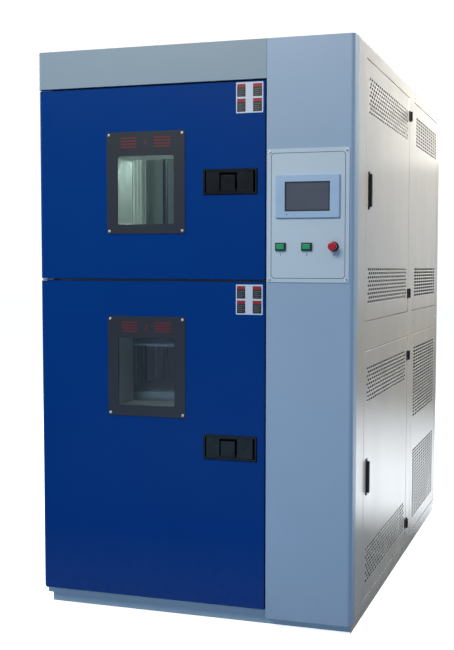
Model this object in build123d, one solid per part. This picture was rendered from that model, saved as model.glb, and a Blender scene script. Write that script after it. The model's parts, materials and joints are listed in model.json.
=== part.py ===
from build123d import *
import os
from math import cos, pi, sin

os.makedirs("parts", exist_ok=True)

# Two-zone thermal shock chamber: a hot chamber above a cold one, a basket that is
# lifted between them, two insulated front doors, a control column, and a machine bay.
# Lengths are in millimetres. Every place below is counted from the cabinet's left,
# front, bottom corner: x to the right, y to the back, z up. put() moves each finished
# piece so that the origin is under the middle of the object's box, on the floor.

# Cabinet
WIDTH = 1100.0
DEPTH = 1800.0
HEIGHT = 1900.0
SHEET = 1.5
FRONT_DEPTH = 54.0
SIDE_DEPTH = 25.0
PLINTH_HEIGHT = 35.0
PLINTH_SIDE_INSET = 9.0
PLINTH_FRONT_INSET = 50.0
PLINTH_BACK_INSET = 6.0
MACHINE_FLOOR = 2.0
PLINTH_WALL = 3.0
PLINTH_FLANGE = 40.0
SILL_HEIGHT = 18.0
SILL_INSET = 32.0
HEADER_HEIGHT = 124.0
HEADER_EDGE_RADIUS = 10.0
HEADER_CORNER_RADIUS = 7.0
HEADER_SEAM = 0.5

# How far pieces stand out of the cabinet's four sides
FRONT_REACH = 30.0
SIDE_REACH = 11.5
BACK_REACH = 22.0

# Front doors
DOOR_WIDTH = 810.0
DOOR_DEPTH = 44.0
DOOR_LIP = 16.0
DOOR_GAP = 4.0
SPLIT_LEVEL = 1136.0
SPLIT_GAP = 7.0
SILL_GAP = 10.0
HEADER_GAP = 6.0
DOOR_EDGE_RADIUS = 14.0
DOOR_FREE_RADIUS = 2.0
UPPER_CORNER_RADIUS = 8.0
LOWER_CORNER_RADIUS = 15.0
PAN_SHEET = 1.2
PAN_FLANGE_INSET = 12.0
PLUG_DEPTH = 76.0
PLUG_CLEARANCE = 10.0
GASKET_INSIDE = 8.0
GASKET_WIDTH = 17.0
SEAL_CLEARANCE = 0.3

# Door pivots
PIVOT_X = 18.0
PIVOT_Y = 28.0
PIVOT_PIN_RADIUS = 6.0
PIVOT_PIN_LENGTH = 26.0
PIVOT_FIT = 0.05
PIVOT_WASHER_GAP = 0.4
PIVOT_BLOCK_RADIUS = 11.0
PIVOT_BLOCK_LENGTH = 30.0
BRACKET_WIDTH = 44.0
BRACKET_FRONT = 12.0
BRACKET_THICKNESS = 5.0

# Door windows
WINDOW_PLATE_WIDTH = 280.0
WINDOW_PLATE_HEIGHT = 335.0
WINDOW_PLATE_THICKNESS = 2.0
WINDOW_PLATE_RADIUS = 4.0
WINDOW_GLASS_WIDTH = 203.0
WINDOW_GLASS_HEIGHT = 225.0
WINDOW_GLASS_RADIUS = 8.0
WINDOW_GLASS_THICKNESS = 4.0
WINDOW_GLASS_LAP = 8.0
WINDOW_GLASS_CLEARANCE = 1.0
WINDOW_REAR_PANE_SET = 6.0
UPPER_PLATE_BOTTOM = 1289.0
LOWER_PLATE_BOTTOM = 680.0
UPPER_GLASS_LIFT = 31.0
LOWER_GLASS_LIFT = 37.0
SCREW_INSET = 9.0

# Flush latches of the front doors
LATCH_LEFT = 598.0
LATCH_WIDTH = 186.0
LATCH_HEIGHT = 83.0
LATCH_FLANGE = 4.0
LATCH_RIM = 7.0
LATCH_WALL = 2.0
LATCH_RECESS = 22.0
LATCH_BODY_DEPTH = 38.0
UPPER_LATCH_LEVEL = 1454.0
LOWER_LATCH_LEVEL = 590.0
HANDLE_THICKNESS = 5.0
HANDLE_PROUD = 3.0
HANDLE_FINGER_GAP = 7.0
HANDLE_SIDE_GAP = 1.0
HANDLE_PIVOT_SET = 8.0
HANDLE_HEEL = 4.0
HANDLE_KNUCKLE_RADIUS = 3.5
HANDLE_GRIP_RADIUS = 4.5
HANDLE_PIN_RADIUS = 1.5
HANDLE_PIN_FIT = 0.05
TAB_LEFT = 61.0
TAB_WIDTH = 49.0
TAB_HEIGHT = 51.0
TAB_SIDE_GAP = 4.0
TAB_GRIP_GAP = 8.0
TAB_TOP_GAP = 8.0
TAB_FOOT_GAP = 0.6
TAB_THICKNESS = 5.0
TAB_SET_BACK = 0.8
TAB_PIN_RADIUS = 1.5
TAB_PIN_RISE = 4.0
BOLT_HEIGHT = 14.0
BOLT_THICKNESS = 8.0
BOLT_LENGTH = 110.0
BOLT_SHOWS = 2.5
BOLT_CLEARANCE = 0.3

# Control column
COLUMN_EDGE_RADIUS = 14.0
CONTROL_PLATE_WIDTH = 268.0
CONTROL_PLATE_HEIGHT = 421.0
CONTROL_PLATE_BOTTOM = 1132.0
CONTROL_PLATE_THICKNESS = 2.0
CONTROL_PLATE_LEFT = 3.0
HMI_WIDTH = 210.0
HMI_HEIGHT = 135.0
HMI_LEFT = 28.0
HMI_RISE = 203.0
HMI_PROUD = 6.0
HMI_BODY_DEPTH = 38.0
HMI_BODY_INSET = 10.0
HMI_RADIUS = 5.0
SCREEN_WIDTH = 147.0
SCREEN_HEIGHT = 93.0
SCREEN_SET = 2.0
SCREEN_THICKNESS = 2.0
CUTOUT_CLEARANCE = 0.6
BUTTON_WIDTH = 34.0
BUTTON_HEIGHT = 25.0
BUTTON_RISE = 113.0
BUTTON_PROUD = 7.0
BUTTON_RIM = 4.0
BUTTON_CAP_PROUD = 2.0
BUTTON_CAP_DEPTH = 13.0
BUTTON_TRAVEL = 3.0
BUTTON_BODY_DEPTH = 28.0
BUTTON_FIT = 0.3
START_CENTRE = 45.0
STOP_CENTRE = 131.0
ESTOP_CENTRE = 219.0
ESTOP_HEAD_RADIUS = 14.0
ESTOP_HEAD_HEIGHT = 12.0
ESTOP_COLLAR_RADIUS = 16.0
ESTOP_COLLAR_HEIGHT = 3.0
ESTOP_BODY_RADIUS = 11.0
ESTOP_BODY_DEPTH = 30.0
ESTOP_STEM_RADIUS = 7.0
ESTOP_STEM_BACK = 12.0
ESTOP_TRAVEL = 4.0
SLIDE_FIT = 0.05

# Right side: posts, bands, service doors, rear bay panels
FRONT_POST_END = 165.0
MID_POST_START = 985.0
MID_POST_END = 1085.0
REAR_POST_WIDTH = 50.0
TOP_RAIL_HEIGHT = 43.0
BOTTOM_RAIL_HEIGHT = 28.0
BAND_BOTTOM = 906.0
BAND_HEIGHT = 96.0
PANEL_SEAM = 2.0
PANEL_DEPTH = 18.0
REAR_PANEL_SEAM = 0.3
SLOT_LENGTH = 22.0
SLOT_HEIGHT = 8.0
SLOT_PITCH = 33.0
SLOT_ROW_PITCH = 13.5
SLOT_COLUMNS = 22
SLOT_ROWS = 9
LONG_SLOT_LENGTH = 47.0
LONG_SLOT_PITCH = 57.0
LONG_SLOT_COLUMNS = 10
SHORT_VENT_ROWS = 9
BACK_VENT_COLUMNS = 7
BACK_VENT_ROWS = 16
TALL_VENT_ROWS = 22
SERVICE_VENT_CENTRE = 575.0
REAR_VENT_CENTRE = 1432.0
UPPER_DOOR_TOP_VENT = 1743.0
UPPER_DOOR_LOW_VENT = 1120.0
LOWER_DOOR_TOP_VENT = 790.0
LOWER_DOOR_LOW_VENT = 174.0
REAR_TALL_VENT = 701.0
REAR_FOOT_VENT = 265.0

# Service door hinges and turn handles
HINGE_HEIGHT = 37.0
HINGE_LEAF = 20.0
HINGE_THICKNESS = 5.0
HINGE_BARREL_RADIUS = 5.5
HINGE_AXIS_OUT = 6.0
HINGE_PIN_RADIUS = 2.5
HINGE_PIN_FIT = 0.05
HINGE_KNUCKLE = 11.5
HINGE_KNUCKLE_GAP = 0.5
HINGE_CLEARANCE = 0.7
UPPER_HINGE_LEVELS = (1784.0, 1078.0)
LOWER_HINGE_LEVELS = (827.0, 135.0)
LOCK_Y = 213.0
UPPER_LOCK_LEVEL = 1434.0
LOWER_LOCK_LEVEL = 479.0
LOCK_PLATE_HEIGHT = 124.0
LOCK_PLATE_WIDTH = 18.0
LOCK_PLATE_THICKNESS = 3.0
LEVER_LENGTH = 108.0
LEVER_WIDTH = 13.0
LEVER_THICKNESS = 7.0
LEVER_CLEARANCE = 0.4
LEVER_SHAFT_RADIUS = 7.0
LEVER_SHAFT_FIT = 0.08
CAM_THICKNESS = 4.0
CAM_REACH = 34.0
CAM_WIDTH = 18.0
CAM_SET = 26.0

# Chambers
SIDE_INSULATION = 110.0
CHAMBER_WIDTH = 570.0
CHAMBER_DEPTH = 726.0
REAR_INSULATION = 98.0
DIVIDER_THICKNESS = 120.0
HOT_HEIGHT = 500.0
COLD_HEIGHT = 480.0
TOP_INSULATION = 104.0
BOTTOM_INSULATION = 98.0
LINER = 1.5
FRAME_PLATE = 2.0
FRAME_PLATE_LAP = 20.0
TRANSFER_WIDTH = 440.0
TRANSFER_FRONT = 140.0
TRANSFER_DEPTH = 470.0

# Basket and lift
BASKET_HEIGHT = 340.0
PLATE_CLEARANCE = 3.0
REST_PAD_HEIGHT = 20.0
REST_PAD_RADIUS = 18.0
GUIDE_RADIUS = 10.0
GUIDE_FIT = 0.06
GUIDE_SPREAD = 180.0
GUIDE_FROM_BACK = 30.0
CYLINDER_RADIUS = 17.0
BASKET_POST = 12.0
BASKET_INSET = 14.0
BASKET_BACK_SPACE = 66.0
BASKET_RAIL = 8.0
SHELF_RISE = 168.0
SHELF_WIRE_RADIUS = 2.0
SHELF_WIRE_PITCH = 30.0

# Air circulation, heater, evaporator
BAFFLE_Y = 630.0
BAFFLE_COLUMNS = 3
BAFFLE_ROWS = 10
BAFFLE_EDGE_COLUMNS = 8
BAFFLE_EDGE_ROWS = 2
FAN_RADIUS = 120.0
FAN_FRONT = 648.0
FAN_DEPTH = 55.0
FAN_BLADES = 14
FAN_BLADE_THICKNESS = 3.0
FAN_BLADE_CHORD = 34.0
FAN_BLADE_LEAN = 24.0
FAN_HUB_RADIUS = 22.0
FAN_SHAFT_RADIUS = 7.0
FAN_SHAFT_HOLE = 11.0
FAN_MOTOR_RADIUS = 55.0
FAN_MOTOR_LENGTH = 120.0
FAN_SHAFT_IN_MOTOR = 40.0
HEATER_TUBE_RADIUS = 5.0
HEATER_TIE_RADIUS = 3.5
HEATER_RING_RADII = (90.0, 120.0)
HEATER_STAND_OFF = 34.0
EVAPORATOR_HEIGHT = 90.0
EVAPORATOR_FRONT = 712.0
EVAPORATOR_DEPTH = 60.0
EVAPORATOR_FIN_PITCH = 14.0
EVAPORATOR_TUBE_RADIUS = 6.0

# Machine bay and electrical compartment
STAND_TUBE = 40.0
COMPRESSOR_RADIUS = 95.0
COMPRESSOR_HEIGHT = 300.0
COMPRESSOR_DOME = 24.0
COMPRESSOR_FOOT = 15.0
COMPRESSOR_Y = 1330.0
COMPRESSOR_X = (290.0, 700.0)
CONDENSER_LEFT = 300.0
CONDENSER_WIDTH = 500.0
CONDENSER_FRONT = 1600.0
CONDENSER_DEPTH = 70.0
CONDENSER_BOTTOM = 60.0
CONDENSER_HEIGHT = 500.0
CONDENSER_FIN_PITCH = 25.0
SHROUD_DEPTH = 50.0
SHROUD_OPENING_RADIUS = 205.0
CONDENSER_FAN_RADIUS = 195.0
CONDENSER_HUB_RADIUS = 45.0
CONDENSER_BLADES = 5
CONDENSER_MOTOR_RADIUS = 45.0
CONDENSER_MOTOR_LENGTH = 50.0
MOTOR_BAR_THICKNESS = 6.0
ELECTRICAL_STAND_OFF = 30.0
ELECTRICAL_FRONT = 230.0
ELECTRICAL_LENGTH = 640.0
ELECTRICAL_BOTTOM = 1030.0
ELECTRICAL_HEIGHT = 640.0
DEVICE_COUNT = 7
DEVICE_DEPTH = 80.0
DEVICE_WIDTH = 62.0
DEVICE_HEIGHT = 96.0
GLAND_RADIUS = 18.0
GLAND_BORE = 9.0
GLAND_X = 930.0
GLAND_LEVEL = 330.0

# Screw heads
SCREW_RADIUS = 4.0
SCREW_HEAD = 2.4
SCREW_SHANK = 2.0
SCREW_HOLE_FIT = 0.25
SCREW_LENGTH = 8.0

# Levels and lines that follow from the sizes above
ORIGIN_X = (WIDTH + SIDE_REACH) / 2
ORIGIN_Y = (DEPTH + BACK_REACH - FRONT_REACH) / 2
SILL_TOP = PLINTH_HEIGHT + SILL_HEIGHT
FLOOR_TOP = PLINTH_HEIGHT + MACHINE_FLOOR
LOWER_DOOR_BOTTOM = SILL_TOP + SILL_GAP
LOWER_DOOR_TOP = SPLIT_LEVEL - SPLIT_GAP / 2
UPPER_DOOR_BOTTOM = SPLIT_LEVEL + SPLIT_GAP / 2
HEADER_BOTTOM = HEIGHT - HEADER_HEIGHT
UPPER_DOOR_TOP = HEADER_BOTTOM - HEADER_GAP
COLUMN_LEFT = DOOR_WIDTH + DOOR_GAP
COLUMN_WIDTH = WIDTH - COLUMN_LEFT
SIDE_INNER = WIDTH - SIDE_DEPTH
BODY_TOP = HEIGHT - SHEET
CHAMBER_LEFT = SIDE_INSULATION
CHAMBER_RIGHT = CHAMBER_LEFT + CHAMBER_WIDTH
CHAMBER_CENTRE = (CHAMBER_LEFT + CHAMBER_RIGHT) / 2
CHAMBER_FRONT = FRONT_DEPTH + FRAME_PLATE
CHAMBER_BACK = CHAMBER_FRONT + CHAMBER_DEPTH
DIVIDER_BOTTOM = SPLIT_LEVEL - DIVIDER_THICKNESS / 2
DIVIDER_TOP = SPLIT_LEVEL + DIVIDER_THICKNESS / 2
HOT_TOP = DIVIDER_TOP + HOT_HEIGHT
COLD_BOTTOM = DIVIDER_BOTTOM - COLD_HEIGHT
INSULATION_RIGHT = CHAMBER_RIGHT + SIDE_INSULATION
INSULATION_BACK = CHAMBER_BACK + REAR_INSULATION
INSULATION_BOTTOM = COLD_BOTTOM - BOTTOM_INSULATION
TRANSFER_LEFT = CHAMBER_CENTRE - TRANSFER_WIDTH / 2
TRANSFER_BACK = TRANSFER_FRONT + TRANSFER_DEPTH
GUIDE_Y = TRANSFER_BACK - GUIDE_FROM_BACK
GUIDE_XS = (CHAMBER_CENTRE - GUIDE_SPREAD, CHAMBER_CENTRE + GUIDE_SPREAD)
BASKET_BOTTOM = DIVIDER_BOTTOM - BASKET_HEIGHT
LIFT_STROKE = BASKET_HEIGHT + DIVIDER_THICKNESS
HOT_FAN_LEVEL = DIVIDER_TOP + HOT_HEIGHT / 2
COLD_FAN_LEVEL = COLD_BOTTOM + COLD_HEIGHT / 2
PLUG_BACK = DOOR_DEPTH + PLUG_DEPTH
COLUMN_PLATE_LEFT = COLUMN_LEFT + CONTROL_PLATE_LEFT
BUTTON_LEVEL = CONTROL_PLATE_BOTTOM + BUTTON_RISE
PLATE_FACE = -CONTROL_PLATE_THICKNESS
REAR_POST_START = DEPTH - REAR_POST_WIDTH
BAND_TOP = BAND_BOTTOM + BAND_HEIGHT
TOP_RAIL_BOTTOM = HEIGHT - TOP_RAIL_HEIGHT
BOTTOM_RAIL_TOP = PLINTH_HEIGHT + BOTTOM_RAIL_HEIGHT
HINGE_X = WIDTH + HINGE_AXIS_OUT

MIN = (Align.MIN, Align.MIN, Align.MIN)
STAND = (Align.CENTER, Align.CENTER, Align.MIN)


# Small helpers

def block(x0, x1, y0, y1, z0, z1):
    return Pos(x0, y0, z0) * Box(x1 - x0, y1 - y0, z1 - z0, align=MIN)


def rod_x(radius, x0, x1, y, z):
    return Pos(x0, y, z) * Rot(0, 90, 0) * Cylinder(radius, x1 - x0, align=STAND)


def rod_y(radius, x, y0, y1, z):
    return Pos(x, y0, z) * Rot(-90, 0, 0) * Cylinder(radius, y1 - y0, align=STAND)


def rod_z(radius, x, y, z0, z1):
    return Pos(x, y, z0) * Cylinder(radius, z1 - z0, align=STAND)


def round_edges(solid, axis, radius, keep=lambda edge: True):
    """Rounds the straight edges along one axis that keep() picks."""
    edges = [edge for edge in solid.edges().filter_by(axis) if keep(edge)]
    return fillet(edges, radius)


def put(name, *solids):
    """Moves the pieces of one node to the shared origin and writes them."""
    shift = Location((-ORIGIN_X, -ORIGIN_Y, 0))
    moved = []
    for solid in solids:
        for one in solid.solids():
            moved.append(one.moved(shift))
    shape = moved[0] if len(moved) == 1 else Compound(children=moved)
    export_step(shape, f"parts/{name}.step")


def slot_outline(u, v, length, height):
    """A punched slot, centred on (u, v), as a closed wire."""
    a = length / 2
    b = height / 2
    corners = [(-a, -b), (a, -b), (a, b), (-a, b)]
    return Wire.make_polygon([(u + du, v + dv, 0) for du, dv in corners], close=True)


def slot_field(centre_u, centre_v, columns, rows, length, pitch, stagger):
    """Rows of slots about one centre; every second row is moved by half a pitch."""
    wires = []
    for row in range(rows):
        v = centre_v + (row - (rows - 1) / 2) * SLOT_ROW_PITCH
        moved = stagger * (0.25 if row % 2 else -0.25) * pitch
        for column in range(columns):
            u = centre_u + (column - (columns - 1) / 2) * pitch + moved
            wires.append(slot_outline(u, v, length, SLOT_HEIGHT))
    return wires


def slotted_sheet(plane, u0, u1, v0, v1, wires):
    """A flat sheet in the plane's own u and v, with the given openings."""
    corners = [(u0, v0, 0), (u1, v0, 0), (u1, v1, 0), (u0, v1, 0)]
    face = Face(Wire.make_polygon(corners, close=True), wires)
    return plane.location * extrude(face, amount=SHEET, dir=(0, 0, 1))


def screw(x, face_y, z):
    """A round-headed screw from the front; its head rests on the plane y = face_y."""
    head = rod_y(SCREW_RADIUS, x, face_y - SCREW_HEAD, face_y, z)
    head = fillet(head.faces().sort_by(Axis.Y)[0].edges(), SCREW_HEAD * 0.6)
    return head + rod_y(SCREW_SHANK, x, face_y, face_y + SCREW_LENGTH, z)


def side_screw(face_x, y, z):
    """A round screw head on the right side; it rests on the plane x = face_x."""
    head = rod_x(SCREW_RADIUS, face_x, face_x + SCREW_HEAD, y, z)
    return fillet(head.faces().sort_by(Axis.X)[-1].edges(), SCREW_HEAD * 0.6)


# Base, stand and frame

def plinth_beam(x0, x1, y0, y1, open_x, open_y):
    """One folded beam of the plinth; open_x and open_y tell which side has no wall."""
    t = PLINTH_WALL
    beam = block(x0, x1, y0, y1, 0, PLINTH_HEIGHT)
    inner = (x0 + (0 if open_x < 0 else t), x1 - (0 if open_x > 0 else t),
             y0 + (0 if open_y < 0 else t), y1 - (0 if open_y > 0 else t))
    return beam - block(*inner, t, PLINTH_HEIGHT - t)


def base_frame():
    left = PLINTH_SIDE_INSET
    right = WIDTH - PLINTH_SIDE_INSET
    front = PLINTH_FRONT_INSET
    back = DEPTH - PLINTH_BACK_INSET
    wide = PLINTH_FLANGE
    beams = [plinth_beam(left, right, front, front + wide, 0, 1),
             plinth_beam(left, right, back - wide, back, 0, -1),
             plinth_beam(left, left + wide, front + wide, back - wide, 1, 0),
             plinth_beam(right - wide, right, front + wide, back - wide, -1, 0)]
    for y in (INSULATION_BACK - wide, COMPRESSOR_Y - wide / 2):
        beams.append(plinth_beam(left + wide, right - wide, y, y + wide, 0, 1))
    return beams


def machine_floor():
    """The floor sheet of the machine bay, on the plinth's beams."""
    return block(SHEET, SIDE_INNER, INSULATION_BACK, DEPTH - SHEET, PLINTH_HEIGHT, FLOOR_TOP)


def door_sill():
    sill = block(0, DOOR_WIDTH, SILL_INSET, FRONT_DEPTH, PLINTH_HEIGHT, SILL_TOP)
    return sill - block(SHEET, DOOR_WIDTH - SHEET, SILL_INSET + SHEET, FRONT_DEPTH,
                        PLINTH_HEIGHT + SHEET, SILL_TOP - SHEET)


def tube(x0, x1, y0, y1, z0, z1, axis):
    """A square tube along one axis, open at both ends."""
    t = PLINTH_WALL
    inner = [(x0 + t, x1 - t), (y0 + t, y1 - t), (z0 + t, z1 - t)]
    inner[axis] = ((x0, x1), (y0, y1), (z0, z1))[axis]
    return block(x0, x1, y0, y1, z0, z1) - block(*inner[0], *inner[1], *inner[2])


def chamber_stand():
    """Four legs and a ring of square tube under the insulated chambers."""
    t = STAND_TUBE
    top = INSULATION_BOTTOM
    lefts = (SHEET, INSULATION_RIGHT - t)
    fronts = (CHAMBER_FRONT, INSULATION_BACK - t)
    pieces = []
    for x in lefts:
        pieces.append(tube(x, x + t, fronts[0] + t, fronts[1], top - t, top, 1))
        for y in fronts:
            pieces.append(tube(x, x + t, y, y + t, PLINTH_HEIGHT, top - t, 2))
    for y in fronts:
        pieces.append(tube(lefts[0], lefts[1] + t, y, y + t, top - t, top, 0))
    return pieces


def channel(y0, y1, z0, z1):
    """One post or rail of the right side: a folded channel, open towards the inside."""
    solid = block(SIDE_INNER, WIDTH, y0, y1, z0, z1)
    return solid - block(SIDE_INNER, WIDTH - SHEET, y0 + SHEET, y1 - SHEET, z0 + SHEET, z1 - SHEET)


def body_frame():
    pieces = [channel(FRONT_DEPTH, FRONT_POST_END, PLINTH_HEIGHT, BODY_TOP),
              channel(MID_POST_START, MID_POST_END, PLINTH_HEIGHT, BODY_TOP),
              channel(REAR_POST_START, DEPTH - SHEET, PLINTH_HEIGHT, BODY_TOP)]
    for y0, y1 in ((FRONT_POST_END, MID_POST_START), (MID_POST_END, REAR_POST_START)):
        pieces.append(channel(y0, y1, TOP_RAIL_BOTTOM, BODY_TOP))
        pieces.append(channel(y0, y1, BAND_BOTTOM, BAND_TOP))
        pieces.append(channel(y0, y1, PLINTH_HEIGHT, BOTTOM_RAIL_TOP))
    return pieces


def left_side_panel():
    depth_from = FRONT_DEPTH + FRAME_PLATE
    wires = slot_field(REAR_VENT_CENTRE, REAR_FOOT_VENT, LONG_SLOT_COLUMNS, SHORT_VENT_ROWS,
                       LONG_SLOT_LENGTH, LONG_SLOT_PITCH, 0)
    plane = Plane(origin=(0, 0, 0), x_dir=(0, 1, 0), z_dir=(1, 0, 0))
    return slotted_sheet(plane, depth_from, DEPTH - SHEET, PLINTH_HEIGHT, BODY_TOP, wires)


def back_panel():
    centre = CONDENSER_LEFT + CONDENSER_WIDTH / 2
    level = CONDENSER_BOTTOM + CONDENSER_HEIGHT / 2
    wires = slot_field(centre, level, BACK_VENT_COLUMNS, BACK_VENT_ROWS, LONG_SLOT_LENGTH,
                       LONG_SLOT_PITCH, 0)
    plane = Plane(origin=(0, DEPTH, 0), x_dir=(1, 0, 0), z_dir=(0, -1, 0))
    sheet = slotted_sheet(plane, 0, WIDTH, PLINTH_HEIGHT, BODY_TOP, wires)
    return sheet - rod_y(GLAND_BORE + SHEET, GLAND_X, DEPTH - 2 * SHEET, DEPTH + SHEET, GLAND_LEVEL)


def top_panel():
    return block(0, WIDTH, FRONT_DEPTH, DEPTH, BODY_TOP, HEIGHT)


def rear_bay_panels():
    plane = Plane(origin=(WIDTH - SHEET, 0, 0), x_dir=(0, 1, 0), z_dir=(1, 0, 0))
    y0 = MID_POST_END + REAR_PANEL_SEAM
    y1 = REAR_POST_START - REAR_PANEL_SEAM
    pieces = []
    spans = ((BAND_TOP, TOP_RAIL_BOTTOM, ((UPPER_DOOR_TOP_VENT, SHORT_VENT_ROWS),
                                          (UPPER_DOOR_LOW_VENT, SHORT_VENT_ROWS))),
             (BOTTOM_RAIL_TOP, BAND_BOTTOM, ((REAR_TALL_VENT, TALL_VENT_ROWS),
                                             (REAR_FOOT_VENT, TALL_VENT_ROWS))))
    for bottom, top, vents in spans:
        z0 = bottom + REAR_PANEL_SEAM
        z1 = top - REAR_PANEL_SEAM
        wires = []
        for level, rows in vents:
            wires += slot_field(REAR_VENT_CENTRE, level, LONG_SLOT_COLUMNS, rows,
                                LONG_SLOT_LENGTH, LONG_SLOT_PITCH, 0)
        panel = slotted_sheet(plane, y0, y1, z0, z1, wires)
        lips = block(WIDTH - PANEL_DEPTH, WIDTH - SHEET, y0, y1, z0, z1)
        lips -= block(WIDTH - PANEL_DEPTH, WIDTH - SHEET, y0 + SHEET, y1 - SHEET,
                      z0 + SHEET, z1 - SHEET)
        pieces.append(panel + lips)
    return pieces


# Header and control column

def header_panel():
    right = COLUMN_LEFT - HEADER_SEAM

    def form(inset):
        solid = block(inset, right - inset, inset, FRONT_DEPTH, HEADER_BOTTOM + inset, HEIGHT - inset)
        solid = round_edges(solid, Axis.Z, HEADER_EDGE_RADIUS - inset,
                            lambda e: e.center().X < DOOR_WIDTH / 2 and e.center().Y < SILL_INSET)
        outline = block(inset, right - inset, 0, FRONT_DEPTH, HEADER_BOTTOM + inset, HEIGHT - inset)
        middle = HEADER_BOTTOM + HEADER_HEIGHT / 2
        outline = round_edges(outline, Axis.Y, HEADER_CORNER_RADIUS - inset,
                              lambda e: e.center().X < DOOR_WIDTH / 2 and e.center().Z > middle)
        return solid & outline

    return form(0) - form(SHEET)


def control_column():
    def form(inset):
        solid = block(COLUMN_LEFT + inset, WIDTH - inset, inset, FRONT_DEPTH,
                      PLINTH_HEIGHT + inset, HEIGHT - inset)
        return round_edges(solid, Axis.Z, COLUMN_EDGE_RADIUS - inset,
                           lambda e: e.center().X > SIDE_INNER and e.center().Y < SILL_INSET)
    column = form(0) - form(SHEET)
    for tool in control_cutouts(0, SHEET):
        column -= tool
    for x, z in control_plate_screws():
        column -= rod_y(SCREW_SHANK + SCREW_HOLE_FIT, x, 0, SHEET, z)
    return column


def hmi_box():
    """Left, right, bottom and top of the operator panel's bezel."""
    left = COLUMN_PLATE_LEFT + HMI_LEFT
    bottom = CONTROL_PLATE_BOTTOM + HMI_RISE
    return left, left + HMI_WIDTH, bottom, bottom + HMI_HEIGHT


def control_cutouts(y0, y1):
    """The openings behind the operator panel, the two buttons and the stop switch."""
    left, right, bottom, top = hmi_box()
    grow = CUTOUT_CLEARANCE - HMI_BODY_INSET
    tools = [block(left - grow, right + grow, y0, y1, bottom - grow, top + grow)]
    for centre in (START_CENTRE, STOP_CENTRE):
        half_w = BUTTON_WIDTH / 2 - BUTTON_RIM / 2 + CUTOUT_CLEARANCE
        half_h = BUTTON_HEIGHT / 2 - BUTTON_RIM / 2 + CUTOUT_CLEARANCE
        x = COLUMN_PLATE_LEFT + centre
        tools.append(block(x - half_w, x + half_w, y0, y1, BUTTON_LEVEL - half_h,
                           BUTTON_LEVEL + half_h))
    x = COLUMN_PLATE_LEFT + ESTOP_CENTRE
    tools.append(rod_y(ESTOP_BODY_RADIUS + CUTOUT_CLEARANCE, x, y0, y1, BUTTON_LEVEL))
    return tools


def control_plate_screws():
    places = []
    for x in (COLUMN_PLATE_LEFT + SCREW_INSET, COLUMN_PLATE_LEFT + CONTROL_PLATE_WIDTH - SCREW_INSET):
        for z in (CONTROL_PLATE_BOTTOM + SCREW_INSET,
                  CONTROL_PLATE_BOTTOM + CONTROL_PLATE_HEIGHT - SCREW_INSET):
            places.append((x, z))
    return places


def control_plate():
    plate = block(COLUMN_PLATE_LEFT, COLUMN_PLATE_LEFT + CONTROL_PLATE_WIDTH, PLATE_FACE, 0,
                  CONTROL_PLATE_BOTTOM, CONTROL_PLATE_BOTTOM + CONTROL_PLATE_HEIGHT)
    plate = round_edges(plate, Axis.Y, WINDOW_PLATE_RADIUS)
    for tool in control_cutouts(PLATE_FACE, 0):
        plate -= tool
    for x, z in control_plate_screws():
        plate -= rod_y(SCREW_SHANK + SCREW_HOLE_FIT, x, PLATE_FACE, 0, z)
    return plate


def panel_screws():
    screws = [screw(x, PLATE_FACE, z) for x, z in control_plate_screws()]
    for z in (BAND_BOTTOM + BAND_HEIGHT / 2, TOP_RAIL_BOTTOM + TOP_RAIL_HEIGHT / 2,
              PLINTH_HEIGHT + BOTTOM_RAIL_HEIGHT / 2):
        for y in (MID_POST_END + REAR_POST_WIDTH / 2, REAR_POST_START - REAR_POST_WIDTH / 2):
            screws.append(side_screw(WIDTH, y, z))
    return screws


def hmi_bezel():
    left, right, bottom, top = hmi_box()
    bezel = block(left, right, PLATE_FACE - HMI_PROUD, PLATE_FACE, bottom, top)
    bezel = round_edges(bezel, Axis.Y, HMI_RADIUS)
    bezel = chamfer(bezel.faces().sort_by(Axis.Y)[0].edges(), HMI_PROUD / 4)
    inset = HMI_BODY_INSET
    bezel += block(left + inset, right - inset, PLATE_FACE, PLATE_FACE + HMI_BODY_DEPTH,
                   bottom + inset, top - inset)
    return bezel - screen_box(0)


def screen_box(gap):
    left, right, bottom, top = hmi_box()
    x = (left + right) / 2
    z = (bottom + top) / 2
    front = PLATE_FACE - HMI_PROUD
    back = front + SCREEN_SET + SCREEN_THICKNESS
    start = front + SCREEN_SET if gap else front
    return block(x - SCREEN_WIDTH / 2 + gap, x + SCREEN_WIDTH / 2 - gap, start, back,
                 z - SCREEN_HEIGHT / 2 + gap, z + SCREEN_HEIGHT / 2 - gap)


def hmi_screen():
    return screen_box(SEAL_CLEARANCE)


def cap_box(centre, gap, y0, y1):
    """The square well of a push button, or its cap when a gap is given."""
    x = COLUMN_PLATE_LEFT + centre
    half_w = BUTTON_WIDTH / 2 - BUTTON_RIM - gap
    half_h = BUTTON_HEIGHT / 2 - BUTTON_RIM - gap
    return block(x - half_w, x + half_w, y0, y1, BUTTON_LEVEL - half_h, BUTTON_LEVEL + half_h)


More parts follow.
